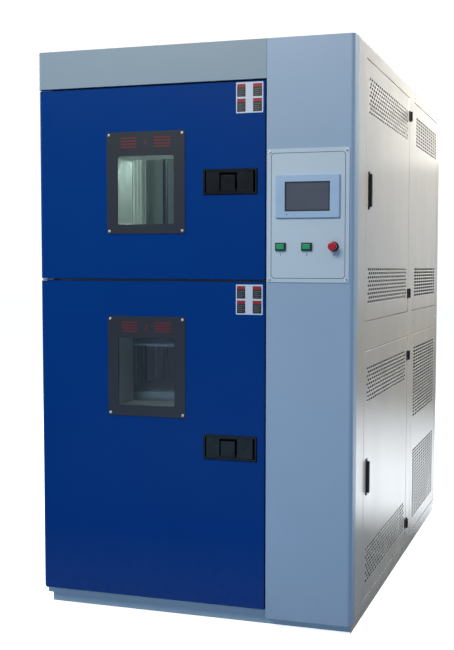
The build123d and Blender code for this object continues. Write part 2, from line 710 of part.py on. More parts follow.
def switch_bezels():
    pieces = []
    cap_front = PLATE_FACE - BUTTON_PROUD - BUTTON_CAP_PROUD
    for centre in (START_CENTRE, STOP_CENTRE):
        x = COLUMN_PLATE_LEFT + centre
        bezel = block(x - BUTTON_WIDTH / 2, x + BUTTON_WIDTH / 2, PLATE_FACE - BUTTON_PROUD,
                      PLATE_FACE, BUTTON_LEVEL - BUTTON_HEIGHT / 2, BUTTON_LEVEL + BUTTON_HEIGHT / 2)
        bezel = chamfer(bezel.faces().sort_by(Axis.Y)[0].edges(), BUTTON_RIM / 4)
        inset = BUTTON_RIM / 2
        bezel += block(x - BUTTON_WIDTH / 2 + inset, x + BUTTON_WIDTH / 2 - inset, PLATE_FACE,
                       PLATE_FACE + BUTTON_BODY_DEPTH, BUTTON_LEVEL - BUTTON_HEIGHT / 2 + inset,
                       BUTTON_LEVEL + BUTTON_HEIGHT / 2 - inset)
        well_end = cap_front + BUTTON_CAP_DEPTH + BUTTON_TRAVEL + BUTTON_FIT
        pieces.append(bezel - cap_box(centre, 0, PLATE_FACE - BUTTON_PROUD, well_end))
    x = COLUMN_PLATE_LEFT + ESTOP_CENTRE
    collar = rod_y(ESTOP_COLLAR_RADIUS, x, PLATE_FACE - ESTOP_COLLAR_HEIGHT, PLATE_FACE, BUTTON_LEVEL)
    collar = chamfer(collar.faces().sort_by(Axis.Y)[0].edges(), ESTOP_COLLAR_HEIGHT / 3)
    collar += rod_y(ESTOP_BODY_RADIUS, x, PLATE_FACE, PLATE_FACE + ESTOP_BODY_DEPTH, BUTTON_LEVEL)
    bore_end = ESTOP_STEM_BACK + ESTOP_TRAVEL + BUTTON_FIT
    collar -= rod_y(ESTOP_STEM_RADIUS + SLIDE_FIT, x, PLATE_FACE - ESTOP_COLLAR_HEIGHT, bore_end,
                    BUTTON_LEVEL)
    pieces.append(collar)
    return pieces


def button_cap(centre):
    front = PLATE_FACE - BUTTON_PROUD - BUTTON_CAP_PROUD
    cap = cap_box(centre, BUTTON_FIT, front, front + BUTTON_CAP_DEPTH)
    return fillet(cap.faces().sort_by(Axis.Y)[0].edges(), BUTTON_CAP_PROUD / 2)


def estop_head():
    """The mushroom head with its stem; it is pressed in along y."""
    x = COLUMN_PLATE_LEFT + ESTOP_CENTRE
    front = -FRONT_REACH
    head = rod_y(ESTOP_HEAD_RADIUS, x, front, front + ESTOP_HEAD_HEIGHT, BUTTON_LEVEL)
    head = fillet(head.faces().sort_by(Axis.Y)[0].edges(), ESTOP_HEAD_HEIGHT / 3)
    head = chamfer(head.faces().sort_by(Axis.Y)[-1].edges(), ESTOP_HEAD_HEIGHT / 6)
    return head + rod_y(ESTOP_STEM_RADIUS, x, front + ESTOP_HEAD_HEIGHT, ESTOP_STEM_BACK, BUTTON_LEVEL)


# Front doors

def door_form(z0, z1, top_radius, bottom_radius, inset):
    """A door's outer form: rounded long edges on the hinge side, small ones opposite,
    and rounded corners in the front view. inset gives the same form, that much smaller."""
    x1 = DOOR_WIDTH - inset
    solid = block(inset, x1, inset, DOOR_DEPTH - inset, z0 + inset, z1 - inset)
    solid = round_edges(solid, Axis.Z, DOOR_EDGE_RADIUS - inset,
                        lambda e: e.center().X < DOOR_WIDTH / 2)
    outline = block(inset, x1, 0, DOOR_DEPTH, z0 + inset, z1 - inset)
    middle = (z0 + z1) / 2
    outline = round_edges(outline, Axis.Y, top_radius - inset,
                          lambda e: e.center().X < DOOR_WIDTH / 2 and e.center().Z > middle)
    outline = round_edges(outline, Axis.Y, bottom_radius - inset,
                          lambda e: e.center().X < DOOR_WIDTH / 2 and e.center().Z < middle)
    return solid & outline


def glass_block(plate_bottom, lift, grow, y0, y1):
    """The window's opening, grown by a lap or taken in by a clearance."""
    left = CHAMBER_CENTRE - WINDOW_GLASS_WIDTH / 2 - grow
    right = CHAMBER_CENTRE + WINDOW_GLASS_WIDTH / 2 + grow
    bottom = plate_bottom + lift - grow
    top = plate_bottom + lift + WINDOW_GLASS_HEIGHT + grow
    opening = block(left, right, y0, y1, bottom, top)
    return round_edges(opening, Axis.Y, WINDOW_GLASS_RADIUS + max(grow, 0))


def plate_screw_places(plate_bottom):
    half = WINDOW_PLATE_WIDTH / 2 - SCREW_INSET
    places = []
    for x in (CHAMBER_CENTRE - half, CHAMBER_CENTRE + half):
        for z in (plate_bottom + SCREW_INSET, plate_bottom + WINDOW_PLATE_HEIGHT - SCREW_INSET):
            places.append((x, z))
    return places


def pivot_blocks(z0, z1):
    """The solid bushes at a door's two pivots, inside the skin."""
    low = rod_z(PIVOT_BLOCK_RADIUS, PIVOT_X, PIVOT_Y, z0, z0 + PIVOT_BLOCK_LENGTH)
    high = rod_z(PIVOT_BLOCK_RADIUS, PIVOT_X, PIVOT_Y, z1 - PIVOT_BLOCK_LENGTH, z1)
    return low + high


def door_skin(z0, z1, top_radius, bottom_radius, plate_bottom, lift, latch_level):
    outer = door_form(z0, z1, top_radius, bottom_radius, 0)
    skin = outer - door_form(z0, z1, top_radius, bottom_radius, SHEET)
    skin -= block(DOOR_LIP, DOOR_WIDTH - DOOR_LIP, DOOR_DEPTH - SHEET, DOOR_DEPTH,
                  z0 + DOOR_LIP, z1 - DOOR_LIP)
    skin += pivot_blocks(z0, z1) & outer
    bore = PIVOT_PIN_RADIUS + PIVOT_FIT
    reach = PIVOT_PIN_LENGTH + PIVOT_WASHER_GAP
    skin -= rod_z(bore, PIVOT_X, PIVOT_Y, z0, z0 + reach)
    skin -= rod_z(bore, PIVOT_X, PIVOT_Y, z1 - reach, z1)
    grow = WINDOW_GLASS_LAP + WINDOW_GLASS_CLEARANCE
    skin -= glass_block(plate_bottom, lift, grow, 0, SHEET)
    half = LATCH_HEIGHT / 2 - LATCH_RIM + LATCH_WALL + CUTOUT_CLEARANCE
    skin -= block(LATCH_LEFT + LATCH_RIM - LATCH_WALL - CUTOUT_CLEARANCE,
                  LATCH_LEFT + LATCH_WIDTH - LATCH_RIM + LATCH_WALL + CUTOUT_CLEARANCE,
                  0, SHEET, latch_level - half, latch_level + half)
    skin -= bolt_block(latch_level, BOLT_CLEARANCE)
    for x, z in plate_screw_places(plate_bottom):
        skin -= rod_y(SCREW_SHANK + SCREW_HOLE_FIT, x, 0, SHEET, z)
    return skin


def door_pan(z0, z1, mouth_bottom, mouth_top, plate_bottom, lift):
    """The stainless inner pan: a flange on the skin's back, the plug that fills the
    chamber's mouth, and the square tunnel of the window through both."""
    inset = PAN_FLANGE_INSET
    t = PAN_SHEET
    pan = block(inset, DOOR_WIDTH - inset, DOOR_DEPTH, DOOR_DEPTH + t, z0 + inset, z1 - inset)
    left = CHAMBER_LEFT + PLUG_CLEARANCE
    right = CHAMBER_RIGHT - PLUG_CLEARANCE
    low = mouth_bottom + PLUG_CLEARANCE
    high = mouth_top - PLUG_CLEARANCE
    plug = block(left, right, DOOR_DEPTH, PLUG_BACK, low, high)
    plug = round_edges(plug, Axis.Y, DOOR_EDGE_RADIUS)
    hollow = block(left + t, right - t, DOOR_DEPTH, PLUG_BACK - t, low + t, high - t)
    hollow = round_edges(hollow, Axis.Y, DOOR_EDGE_RADIUS - t)
    pan = pan + plug - hollow
    tunnel = glass_block(plate_bottom, lift, t, WINDOW_GLASS_THICKNESS, PLUG_BACK)
    pan += tunnel
    return pan - glass_block(plate_bottom, lift, 0, WINDOW_GLASS_THICKNESS, PLUG_BACK)


def door_gasket(mouth_bottom, mouth_top):
    y0 = DOOR_DEPTH + PAN_SHEET
    y1 = FRONT_DEPTH - SEAL_CLEARANCE
    out = GASKET_INSIDE + GASKET_WIDTH
    ring = block(CHAMBER_LEFT - out, CHAMBER_RIGHT + out, y0, y1, mouth_bottom - out, mouth_top + out)
    ring = round_edges(ring, Axis.Y, out)
    hole = block(CHAMBER_LEFT - GASKET_INSIDE, CHAMBER_RIGHT + GASKET_INSIDE, y0, y1,
                 mouth_bottom - GASKET_INSIDE, mouth_top + GASKET_INSIDE)
    return ring - round_edges(hole, Axis.Y, GASKET_INSIDE)


def window_plate(plate_bottom, lift):
    """The dark cover plate round the window, with its four screws as solids of their own."""
    half = WINDOW_PLATE_WIDTH / 2
    plate = block(CHAMBER_CENTRE - half, CHAMBER_CENTRE + half, -WINDOW_PLATE_THICKNESS, 0,
                  plate_bottom, plate_bottom + WINDOW_PLATE_HEIGHT)
    plate = round_edges(plate, Axis.Y, WINDOW_PLATE_RADIUS)
    plate -= glass_block(plate_bottom, lift, 0, -WINDOW_PLATE_THICKNESS, 0)
    pieces = []
    for x, z in plate_screw_places(plate_bottom):
        plate -= rod_y(SCREW_SHANK + SCREW_HOLE_FIT, x, -WINDOW_PLATE_THICKNESS, 0, z)
        pieces.append(screw(x, -WINDOW_PLATE_THICKNESS, z))
    return [plate] + pieces


def window_glass(plate_bottom, lift):
    front = glass_block(plate_bottom, lift, WINDOW_GLASS_LAP, 0, WINDOW_GLASS_THICKNESS)
    back_y = PLUG_BACK - WINDOW_REAR_PANE_SET
    rear = glass_block(plate_bottom, lift, -SEAL_CLEARANCE, back_y, back_y + WINDOW_GLASS_THICKNESS)
    return [front, rear]


# Front door latches

def recess_block(level, y0, y1):
    """The finger recess that the latch handle lies in."""
    half = LATCH_HEIGHT / 2 - LATCH_RIM
    return block(LATCH_LEFT + LATCH_RIM, LATCH_LEFT + LATCH_WIDTH - LATCH_RIM, y0, y1,
                 level - half, level + half)


def bolt_block(level, grow):
    right = DOOR_WIDTH + BOLT_SHOWS
    y0 = LATCH_RECESS + LATCH_WALL + (LATCH_BODY_DEPTH - LATCH_RECESS - LATCH_WALL - BOLT_THICKNESS) / 2
    return block(right - BOLT_LENGTH - grow * 60, right + grow, y0 - grow, y0 + BOLT_THICKNESS + grow,
                 level - BOLT_HEIGHT / 2 - grow, level + BOLT_HEIGHT / 2 + grow)


def latch_housing(level):
    half = LATCH_HEIGHT / 2
    housing = block(LATCH_LEFT, LATCH_LEFT + LATCH_WIDTH, -LATCH_FLANGE, 0, level - half, level + half)
    housing = round_edges(housing, Axis.Y, LATCH_RIM / 2)
    housing = chamfer(housing.faces().sort_by(Axis.Y)[0].edges(), LATCH_FLANGE * 0.6)
    body = half - LATCH_RIM + LATCH_WALL
    housing += block(LATCH_LEFT + LATCH_RIM - LATCH_WALL, LATCH_LEFT + LATCH_WIDTH - LATCH_RIM + LATCH_WALL,
                     0, LATCH_BODY_DEPTH, level - body, level + body)
    housing -= recess_block(level, -LATCH_FLANGE, LATCH_RECESS)
    housing -= bolt_block(level, BOLT_CLEARANCE)
    inner = half - LATCH_RIM
    for end in (level - inner, level + inner):
        x, y = handle_axis()
        housing -= rod_z(HANDLE_PIN_RADIUS + HANDLE_PIN_FIT, x, y, end - LATCH_WALL * 0.6,
                         end + LATCH_WALL * 0.6)
    return housing


def handle_axis():
    """The upright axis that the latch handle swings on, near its left end."""
    return LATCH_LEFT + LATCH_RIM + HANDLE_PIVOT_SET, -HANDLE_PROUD + HANDLE_THICKNESS + 1.0


def tab_box(level):
    """Left, right, bottom and top of the press tab in the handle."""
    left = LATCH_LEFT + TAB_LEFT
    inner = LATCH_HEIGHT / 2 - LATCH_RIM - HANDLE_SIDE_GAP
    bottom = level - inner + HANDLE_HEEL
    return left, left + TAB_WIDTH, bottom, bottom + TAB_HEIGHT


def latch_handle(level):
    x, y = handle_axis()
    inner = LATCH_HEIGHT / 2 - LATCH_RIM - HANDLE_SIDE_GAP
    front = -HANDLE_PROUD
    right = LATCH_LEFT + LATCH_WIDTH - LATCH_RIM - HANDLE_FINGER_GAP
    handle = block(x - HANDLE_HEEL, right, front, front + HANDLE_THICKNESS, level - inner, level + inner)
    handle += rod_z(HANDLE_GRIP_RADIUS, right - HANDLE_GRIP_RADIUS, front + HANDLE_GRIP_RADIUS,
                    level - inner, level + inner)
    handle += rod_z(HANDLE_KNUCKLE_RADIUS, x, y, level - inner, level + inner)
    handle += block(x - HANDLE_KNUCKLE_RADIUS, x + HANDLE_KNUCKLE_RADIUS, front + HANDLE_THICKNESS, y,
                    level - inner, level + inner)
    pin_half = LATCH_HEIGHT / 2 - LATCH_RIM + LATCH_WALL * 0.5
    handle += rod_z(HANDLE_PIN_RADIUS, x, y, level - pin_half, level + pin_half)
    left, tab_right, bottom, top = tab_box(level)
    handle -= block(left - TAB_SIDE_GAP, tab_right + TAB_GRIP_GAP, front, front + HANDLE_THICKNESS,
                    bottom - TAB_FOOT_GAP, top + TAB_TOP_GAP)
    pin_z = bottom + TAB_PIN_RISE
    lug = HANDLE_HEEL
    for side in (left - TAB_SIDE_GAP - lug, tab_right + TAB_GRIP_GAP):
        handle += block(side, side + lug, front + HANDLE_THICKNESS, front + 2 * HANDLE_THICKNESS,
                        bottom, pin_z + lug)
    handle += rod_x(TAB_PIN_RADIUS, left - TAB_SIDE_GAP - lug / 2, tab_right + TAB_GRIP_GAP + lug / 2,
                    front + HANDLE_THICKNESS + TAB_PIN_RADIUS, pin_z)
    return handle


def latch_tab(level):
    """The press tab in the middle of the handle; it tips about a pin at its foot."""
    left, right, bottom, top = tab_box(level)
    front = -HANDLE_PROUD + TAB_SET_BACK
    tab = block(left, right, front, front + TAB_THICKNESS, bottom, top)
    tab = fillet(tab.faces().sort_by(Axis.Y)[0].edges(), TAB_SET_BACK)
    pin_y = -HANDLE_PROUD + HANDLE_THICKNESS + TAB_PIN_RADIUS
    pin_z = bottom + TAB_PIN_RISE
    eye = TAB_PIN_RADIUS * 2
    tab += rod_x(eye, left, right, pin_y, pin_z)
    return tab - rod_x(TAB_PIN_RADIUS + HANDLE_PIN_FIT, left, right, pin_y, pin_z)


def latch_bolt(level):
    bolt = bolt_block(level, 0)
    return chamfer(bolt.faces().sort_by(Axis.X)[-1].edges(), 1.0)


def door_hinge_brackets():
    """Three pivot plates on the front frame, with the pins that the doors turn on."""
    gap = PIVOT_WASHER_GAP
    t = BRACKET_THICKNESS
    pieces = []
    seats = ((LOWER_DOOR_BOTTOM - gap - t, False, True), (SPLIT_LEVEL - t / 2, True, True),
             (UPPER_DOOR_TOP + gap, True, False))
    for z, down, up in seats:
        plate = block(0, BRACKET_WIDTH, BRACKET_FRONT, FRONT_DEPTH, z, z + t)
        plate = round_edges(plate, Axis.Z, BRACKET_THICKNESS,
                            lambda e: e.center().Y < SILL_INSET)
        if up:
            plate += rod_z(PIVOT_PIN_RADIUS, PIVOT_X, PIVOT_Y, z + t, z + t + PIVOT_PIN_LENGTH)
        if down:
            plate += rod_z(PIVOT_PIN_RADIUS, PIVOT_X, PIVOT_Y, z - PIVOT_PIN_LENGTH, z)
        pieces.append(plate)
    return pieces


# Chambers

def front_frame():
    plate = block(0, COLUMN_LEFT + FRAME_PLATE_LAP, FRONT_DEPTH, CHAMBER_FRONT, PLINTH_HEIGHT, BODY_TOP)
    for z0, z1 in ((DIVIDER_TOP, HOT_TOP), (COLD_BOTTOM, DIVIDER_BOTTOM)):
        plate -= block(CHAMBER_LEFT, CHAMBER_RIGHT, FRONT_DEPTH, CHAMBER_FRONT, z0, z1)
    return plate


def liner(z0, z1, fan_level, opening_at):
    t = LINER
    box = block(CHAMBER_LEFT - t, CHAMBER_RIGHT + t, CHAMBER_FRONT, CHAMBER_BACK + t, z0 - t, z1 + t)
    box -= block(CHAMBER_LEFT, CHAMBER_RIGHT, CHAMBER_FRONT, CHAMBER_BACK, z0, z1)
    box -= rod_y(FAN_SHAFT_HOLE, CHAMBER_CENTRE, CHAMBER_BACK, CHAMBER_BACK + t, fan_level)
    return box - block(TRANSFER_LEFT, TRANSFER_LEFT + TRANSFER_WIDTH, TRANSFER_FRONT, TRANSFER_BACK,
                       opening_at - t, opening_at + t)


def divider_frame():
    """The stainless throat between the two chambers, inside the divider's insulation."""
    t = LINER
    z0 = DIVIDER_BOTTOM + t
    z1 = DIVIDER_TOP - t
    right = TRANSFER_LEFT + TRANSFER_WIDTH
    throat = block(TRANSFER_LEFT - t, right + t, TRANSFER_FRONT - t, TRANSFER_BACK + t, z0, z1)
    return throat - block(TRANSFER_LEFT, right, TRANSFER_FRONT, TRANSFER_BACK, z0, z1)


def chamber_insulation():
    t = LINER
    front = CHAMBER_FRONT
    top = HOT_TOP + TOP_INSULATION
    left_in = CHAMBER_LEFT - t
    right_in = CHAMBER_RIGHT + t
    low = COLD_BOTTOM - t
    high = HOT_TOP + t
    pieces = [block(SHEET, left_in, front, INSULATION_BACK, INSULATION_BOTTOM, top),
              block(right_in, INSULATION_RIGHT, front, INSULATION_BACK, INSULATION_BOTTOM, top),
              block(left_in, right_in, front, INSULATION_BACK, high, top),
              block(left_in, right_in, front, INSULATION_BACK, INSULATION_BOTTOM, low)]
    rear = block(left_in, right_in, CHAMBER_BACK + t, INSULATION_BACK, low, high)
    for level in (HOT_FAN_LEVEL, COLD_FAN_LEVEL):
        rear -= rod_y(FAN_SHAFT_HOLE, CHAMBER_CENTRE, CHAMBER_BACK + t, INSULATION_BACK, level)
    divider = block(left_in, right_in, front, CHAMBER_BACK + t, DIVIDER_BOTTOM + t, DIVIDER_TOP - t)
    divider -= block(TRANSFER_LEFT - t, TRANSFER_LEFT + TRANSFER_WIDTH + t, TRANSFER_FRONT - t,
                     TRANSFER_BACK + t, DIVIDER_BOTTOM + t, DIVIDER_TOP - t)
    return pieces + [rear, divider]


# Basket and lift

def lift_guides():
    """Two guide rods, the upright lift cylinder between them, and the two rest pads."""
    pieces = [rod_z(GUIDE_RADIUS, x, GUIDE_Y, COLD_BOTTOM, HOT_TOP) for x in GUIDE_XS]
    pieces.append(rod_z(CYLINDER_RADIUS, CHAMBER_CENTRE, GUIDE_Y, COLD_BOTTOM, HOT_TOP))
    for x in GUIDE_XS:
        y = TRANSFER_FRONT + TRANSFER_DEPTH / 4
        pieces.append(rod_z(REST_PAD_RADIUS, x, y, COLD_BOTTOM, COLD_BOTTOM + REST_PAD_HEIGHT))
    return pieces


def basket_plates():
    """The hollow steel plates over and under the basket; each can close the divider."""
    gap = PLATE_CLEARANCE
    t = LINER
    pieces = []
    bottom = COLD_BOTTOM + REST_PAD_HEIGHT
    bores = [(x, GUIDE_RADIUS + GUIDE_FIT) for x in GUIDE_XS]
    bores.append((CHAMBER_CENTRE, CYLINDER_RADIUS + GUIDE_FIT))
    for z0, z1 in ((bottom, BASKET_BOTTOM), (DIVIDER_BOTTOM, DIVIDER_TOP)):
        x0 = TRANSFER_LEFT + gap
        x1 = TRANSFER_LEFT + TRANSFER_WIDTH - gap
        y0 = TRANSFER_FRONT + gap
        y1 = TRANSFER_BACK - gap
        plate = round_edges(block(x0, x1, y0, y1, z0, z1), Axis.Z, gap)
        hollow = block(x0 + t, x1 - t, y0 + t, y1 - t, z0 + t, z1 - t)
        for x, radius in bores:
            hollow -= rod_z(radius + 2 * t, x, GUIDE_Y, z0, z1)
        plate -= hollow
        for x, radius in bores:
            plate -= rod_z(radius, x, GUIDE_Y, z0, z1)
        pieces.append(plate)
    return pieces


def basket_frame():
    post = BASKET_POST
    rail = BASKET_RAIL
    x0 = TRANSFER_LEFT + BASKET_INSET
    x1 = TRANSFER_LEFT + TRANSFER_WIDTH - BASKET_INSET
    y0 = TRANSFER_FRONT + BASKET_INSET
    y1 = TRANSFER_BACK - BASKET_BACK_SPACE
    z0 = BASKET_BOTTOM
    z1 = DIVIDER_BOTTOM
    frame = None
    for x in (x0, x1 - post):
        for y in (y0, y1 - post):
            one = block(x, x + post, y, y + post, z0, z1)
            frame = one if frame is None else frame + one
    for z in (z0, z0 + SHELF_RISE, z1 - rail):
        for x in (x0, x1 - rail):
            frame += block(x, x + rail, y0, y1, z, z + rail)
        for y in (y0, y1 - rail):
            frame += block(x0, x1, y, y + rail, z, z + rail)
    count = int((y1 - y0 - 2 * post) / SHELF_WIRE_PITCH)
    for z in (z0 + rail / 2, z0 + SHELF_RISE + rail / 2):
        for index in range(count):
            y = y0 + post + (index + 0.5) * (y1 - y0 - 2 * post) / count
            frame += rod_x(SHELF_WIRE_RADIUS, x0 + rail / 2, x1 - rail / 2, y, z)
    return frame


# Air circulation, heater and evaporator

def air_baffles():
    pieces = []
    plane = Plane(origin=(0, BAFFLE_Y + SHEET, 0), x_dir=(1, 0, 0), z_dir=(0, -1, 0))
    for z0, z1, level in ((DIVIDER_TOP, HOT_TOP, HOT_FAN_LEVEL), (COLD_BOTTOM, DIVIDER_BOTTOM, COLD_FAN_LEVEL)):
        wires = slot_field(CHAMBER_CENTRE, level, BAFFLE_COLUMNS, BAFFLE_ROWS, LONG_SLOT_LENGTH,
                           LONG_SLOT_PITCH, 0)
        for edge in (z0 + LONG_SLOT_PITCH, z1 - LONG_SLOT_PITCH):
            wires += slot_field(CHAMBER_CENTRE, edge, BAFFLE_EDGE_COLUMNS, BAFFLE_EDGE_ROWS,
                                LONG_SLOT_LENGTH, LONG_SLOT_PITCH, 0)
        pieces.append(slotted_sheet(plane, CHAMBER_LEFT, CHAMBER_RIGHT, z0, z1, wires))
    return pieces


def fan_wheel(level):
    """A backward-curved wheel with its long shaft through the rear insulation."""
    x = CHAMBER_CENTRE
    back = FAN_FRONT + FAN_DEPTH
    ring = FAN_BLADE_THICKNESS
    wheel = rod_y(FAN_RADIUS, x, back - ring, back, level)
    front_ring = rod_y(FAN_RADIUS, x, FAN_FRONT, FAN_FRONT + ring, level)
    front_ring -= rod_y(FAN_RADIUS - FAN_BLADE_CHORD, x, FAN_FRONT, FAN_FRONT + ring, level)
    wheel += front_ring
    for index in range(FAN_BLADES):
        blade = Box(FAN_BLADE_CHORD, FAN_DEPTH, ring)
        angle = 360 * index / FAN_BLADES
        arm = FAN_RADIUS - FAN_BLADE_CHORD / 2 - ring
        place = Pos(x, FAN_FRONT + FAN_DEPTH / 2, level) * Rot(0, angle, 0)
        wheel += place * Pos(arm, 0, 0) * Rot(0, FAN_BLADE_LEAN, 0) * blade
    wheel += rod_y(FAN_HUB_RADIUS, x, back - FAN_DEPTH / 2, back, level)
    end = INSULATION_BACK + FAN_SHAFT_IN_MOTOR
    return wheel + rod_y(FAN_SHAFT_RADIUS, x, back, end, level)


def fan_motor(level):
    y = INSULATION_BACK
    motor = rod_y(FAN_MOTOR_RADIUS, CHAMBER_CENTRE, y, y + FAN_MOTOR_LENGTH, level)
    motor = fillet(motor.faces().sort_by(Axis.Y)[-1].edges(), FAN_SHAFT_RADIUS)
    return motor - rod_y(FAN_SHAFT_RADIUS + SLIDE_FIT, CHAMBER_CENTRE, y,
                         y + FAN_SHAFT_IN_MOTOR + BUTTON_FIT, level)


def condenser_centre():
    return CONDENSER_LEFT + CONDENSER_WIDTH / 2, CONDENSER_BOTTOM + CONDENSER_HEIGHT / 2


def condenser_motor():
    x, z = condenser_centre()
    y = CONDENSER_FRONT + CONDENSER_DEPTH + SHROUD_DEPTH
    bar = MOTOR_BAR_THICKNESS
    motor = rod_y(CONDENSER_MOTOR_RADIUS, x, y, y + CONDENSER_MOTOR_LENGTH, z)
    motor += block(CONDENSER_LEFT, CONDENSER_LEFT + CONDENSER_WIDTH, y, y + bar,
                   z - CONDENSER_MOTOR_RADIUS / 2, z + CONDENSER_MOTOR_RADIUS / 2)
    return motor - rod_y(FAN_SHAFT_RADIUS + SLIDE_FIT, x, y, y + CONDENSER_MOTOR_LENGTH / 2, z)


def condenser_fan():
    x, z = condenser_centre()
    y = CONDENSER_FRONT + CONDENSER_DEPTH + SHROUD_DEPTH
    depth = SHROUD_DEPTH - 2 * MOTOR_BAR_THICKNESS
    hub = rod_y(CONDENSER_HUB_RADIUS, x, y - depth, y - MOTOR_BAR_THICKNESS, z)
    span = CONDENSER_FAN_RADIUS - CONDENSER_HUB_RADIUS + MOTOR_BAR_THICKNESS
    middle = (CONDENSER_FAN_RADIUS + CONDENSER_HUB_RADIUS - MOTOR_BAR_THICKNESS) / 2
    for index in range(CONDENSER_BLADES):
        blade = Box(span, FAN_BLADE_THICKNESS, CONDENSER_HUB_RADIUS * 1.2)
        place = Pos(x, y - SHROUD_DEPTH / 2, z) * Rot(0, 360 * index / CONDENSER_BLADES, 0)
        hub += place * Pos(middle, 0, 0) * Rot(FAN_BLADE_LEAN, 0, 0) * blade
    shaft_end = y + CONDENSER_MOTOR_LENGTH / 2 - BUTTON_FIT
    return hub + rod_y(FAN_SHAFT_RADIUS, x, y - MOTOR_BAR_THICKNESS, shaft_end, z)


def condenser():
    """A finned core on two feet, with the fan's shroud behind it."""
    x0 = CONDENSER_LEFT
    x1 = x0 + CONDENSER_WIDTH
    z0 = CONDENSER_BOTTOM
    z1 = z0 + CONDENSER_HEIGHT
    y1 = CONDENSER_FRONT + CONDENSER_DEPTH
    rail = MOTOR_BAR_THICKNESS
    core = block(x0, x0 + rail, CONDENSER_FRONT, y1, FLOOR_TOP, z1)
    core += block(x1 - rail, x1, CONDENSER_FRONT, y1, FLOOR_TOP, z1)
    count = int((CONDENSER_HEIGHT - rail) / CONDENSER_FIN_PITCH)
    for index in range(count + 1):
        z = z0 + index * (CONDENSER_HEIGHT - SHEET) / count
        core += block(x0 + rail, x1 - rail, CONDENSER_FRONT, y1, z, z + SHEET)
    for y in (CONDENSER_FRONT + CONDENSER_DEPTH / 4, y1 - CONDENSER_DEPTH / 4):
        for x in (x0 + CONDENSER_WIDTH / 4, x0 + CONDENSER_WIDTH / 2, x1 - CONDENSER_WIDTH / 4):
            core += rod_z(EVAPORATOR_TUBE_RADIUS, x, y, z0, z1)
    x, z = condenser_centre()
    shroud = block(x0, x1, y1, y1 + SHROUD_DEPTH, z0, z1)
    shroud -= block(x0 + SHEET, x1 - SHEET, y1, y1 + SHROUD_DEPTH - SHEET, z0 + SHEET, z1 - SHEET)
    shroud -= rod_y(SHROUD_OPENING_RADIUS, x, y1, y1 + SHROUD_DEPTH, z)
    return [core, shroud]


def heater():
    """Two round tube elements behind the hot baffle, each side on a post to the liner."""
    y = CHAMBER_BACK - HEATER_STAND_OFF
    place = Pos(CHAMBER_CENTRE, y, HOT_FAN_LEVEL) * Rot(90, 0, 0)
    inner, outer = HEATER_RING_RADII
    element = place * Torus(inner, HEATER_TUBE_RADIUS) + place * Torus(outer, HEATER_TUBE_RADIUS)
    for side in (-1, 1):
        ends = sorted((CHAMBER_CENTRE + side * inner, CHAMBER_CENTRE + side * outer))
        element += rod_x(HEATER_TIE_RADIUS, ends[0], ends[1], y, HOT_FAN_LEVEL)
        x = CHAMBER_CENTRE + side * outer
        element += rod_y(HEATER_TIE_RADIUS, x, y, CHAMBER_BACK, HOT_FAN_LEVEL)
    return element


def evaporator():
    """Fins on four tubes along the cold chamber's floor, behind the baffle."""
    margin = EVAPORATOR_FIN_PITCH
    x0 = CHAMBER_LEFT + margin
    x1 = CHAMBER_RIGHT - margin
    y0 = EVAPORATOR_FRONT
    y1 = y0 + EVAPORATOR_DEPTH
    z0 = COLD_BOTTOM
    z1 = z0 + EVAPORATOR_HEIGHT
    count = int((x1 - x0) / EVAPORATOR_FIN_PITCH)
    coil = None
    for y in (y0 + EVAPORATOR_DEPTH / 4, y1 - EVAPORATOR_DEPTH / 4):
        for z in (z0 + EVAPORATOR_HEIGHT / 4, z1 - EVAPORATOR_HEIGHT / 4):
            tube = rod_x(EVAPORATOR_TUBE_RADIUS, x0, x1, y, z)
            coil = tube if coil is None else coil + tube
    for index in range(count + 1):
        x = x0 + index * (x1 - x0 - SHEET) / count
        coil += block(x, x + SHEET, y0, y1, z0, z1)
    return coil


def compressors():
    pieces = []
    for x in COMPRESSOR_X:
        z0 = FLOOR_TOP + COMPRESSOR_FOOT
        can = rod_z(COMPRESSOR_RADIUS, x, COMPRESSOR_Y, z0, z0 + COMPRESSOR_HEIGHT)
        can = fillet(can.edges().filter_by(GeomType.CIRCLE), COMPRESSOR_DOME)
        half = COMPRESSOR_RADIUS * 0.9
        foot = block(x - half, x + half, COMPRESSOR_Y - half, COMPRESSOR_Y + half,
                     FLOOR_TOP, z0 + COMPRESSOR_DOME / 2)
        pieces.append(can + round_edges(foot, Axis.Z, COMPRESSOR_DOME))
    return pieces


def electrical_panel():
    """A mounting plate on four stand-offs, with a row of contactors and a drive."""
    x0 = INSULATION_RIGHT
    x1 = x0 + ELECTRICAL_STAND_OFF
    y0 = ELECTRICAL_FRONT
    y1 = y0 + ELECTRICAL_LENGTH
    z0 = ELECTRICAL_BOTTOM
    z1 = z0 + ELECTRICAL_HEIGHT
    inset = STAND_TUBE
    plate = block(x1, x1 + PLINTH_WALL, y0, y1, z0, z1)
    for y in (y0 + inset, y1 - inset):
        for z in (z0 + inset, z1 - inset):
            plate += rod_x(FAN_SHAFT_RADIUS, x0, x1, y, z)
    face = x1 + PLINTH_WALL
    for row, rise in enumerate((ELECTRICAL_HEIGHT / 2, ELECTRICAL_HEIGHT / 6)):
        for index in range(DEVICE_COUNT - row):
            y = y0 + inset + index * (ELECTRICAL_LENGTH - 2 * inset) / DEVICE_COUNT
            plate += block(face, face + DEVICE_DEPTH, y, y + DEVICE_WIDTH, z0 + rise,
                           z0 + rise + DEVICE_HEIGHT)
    return plate


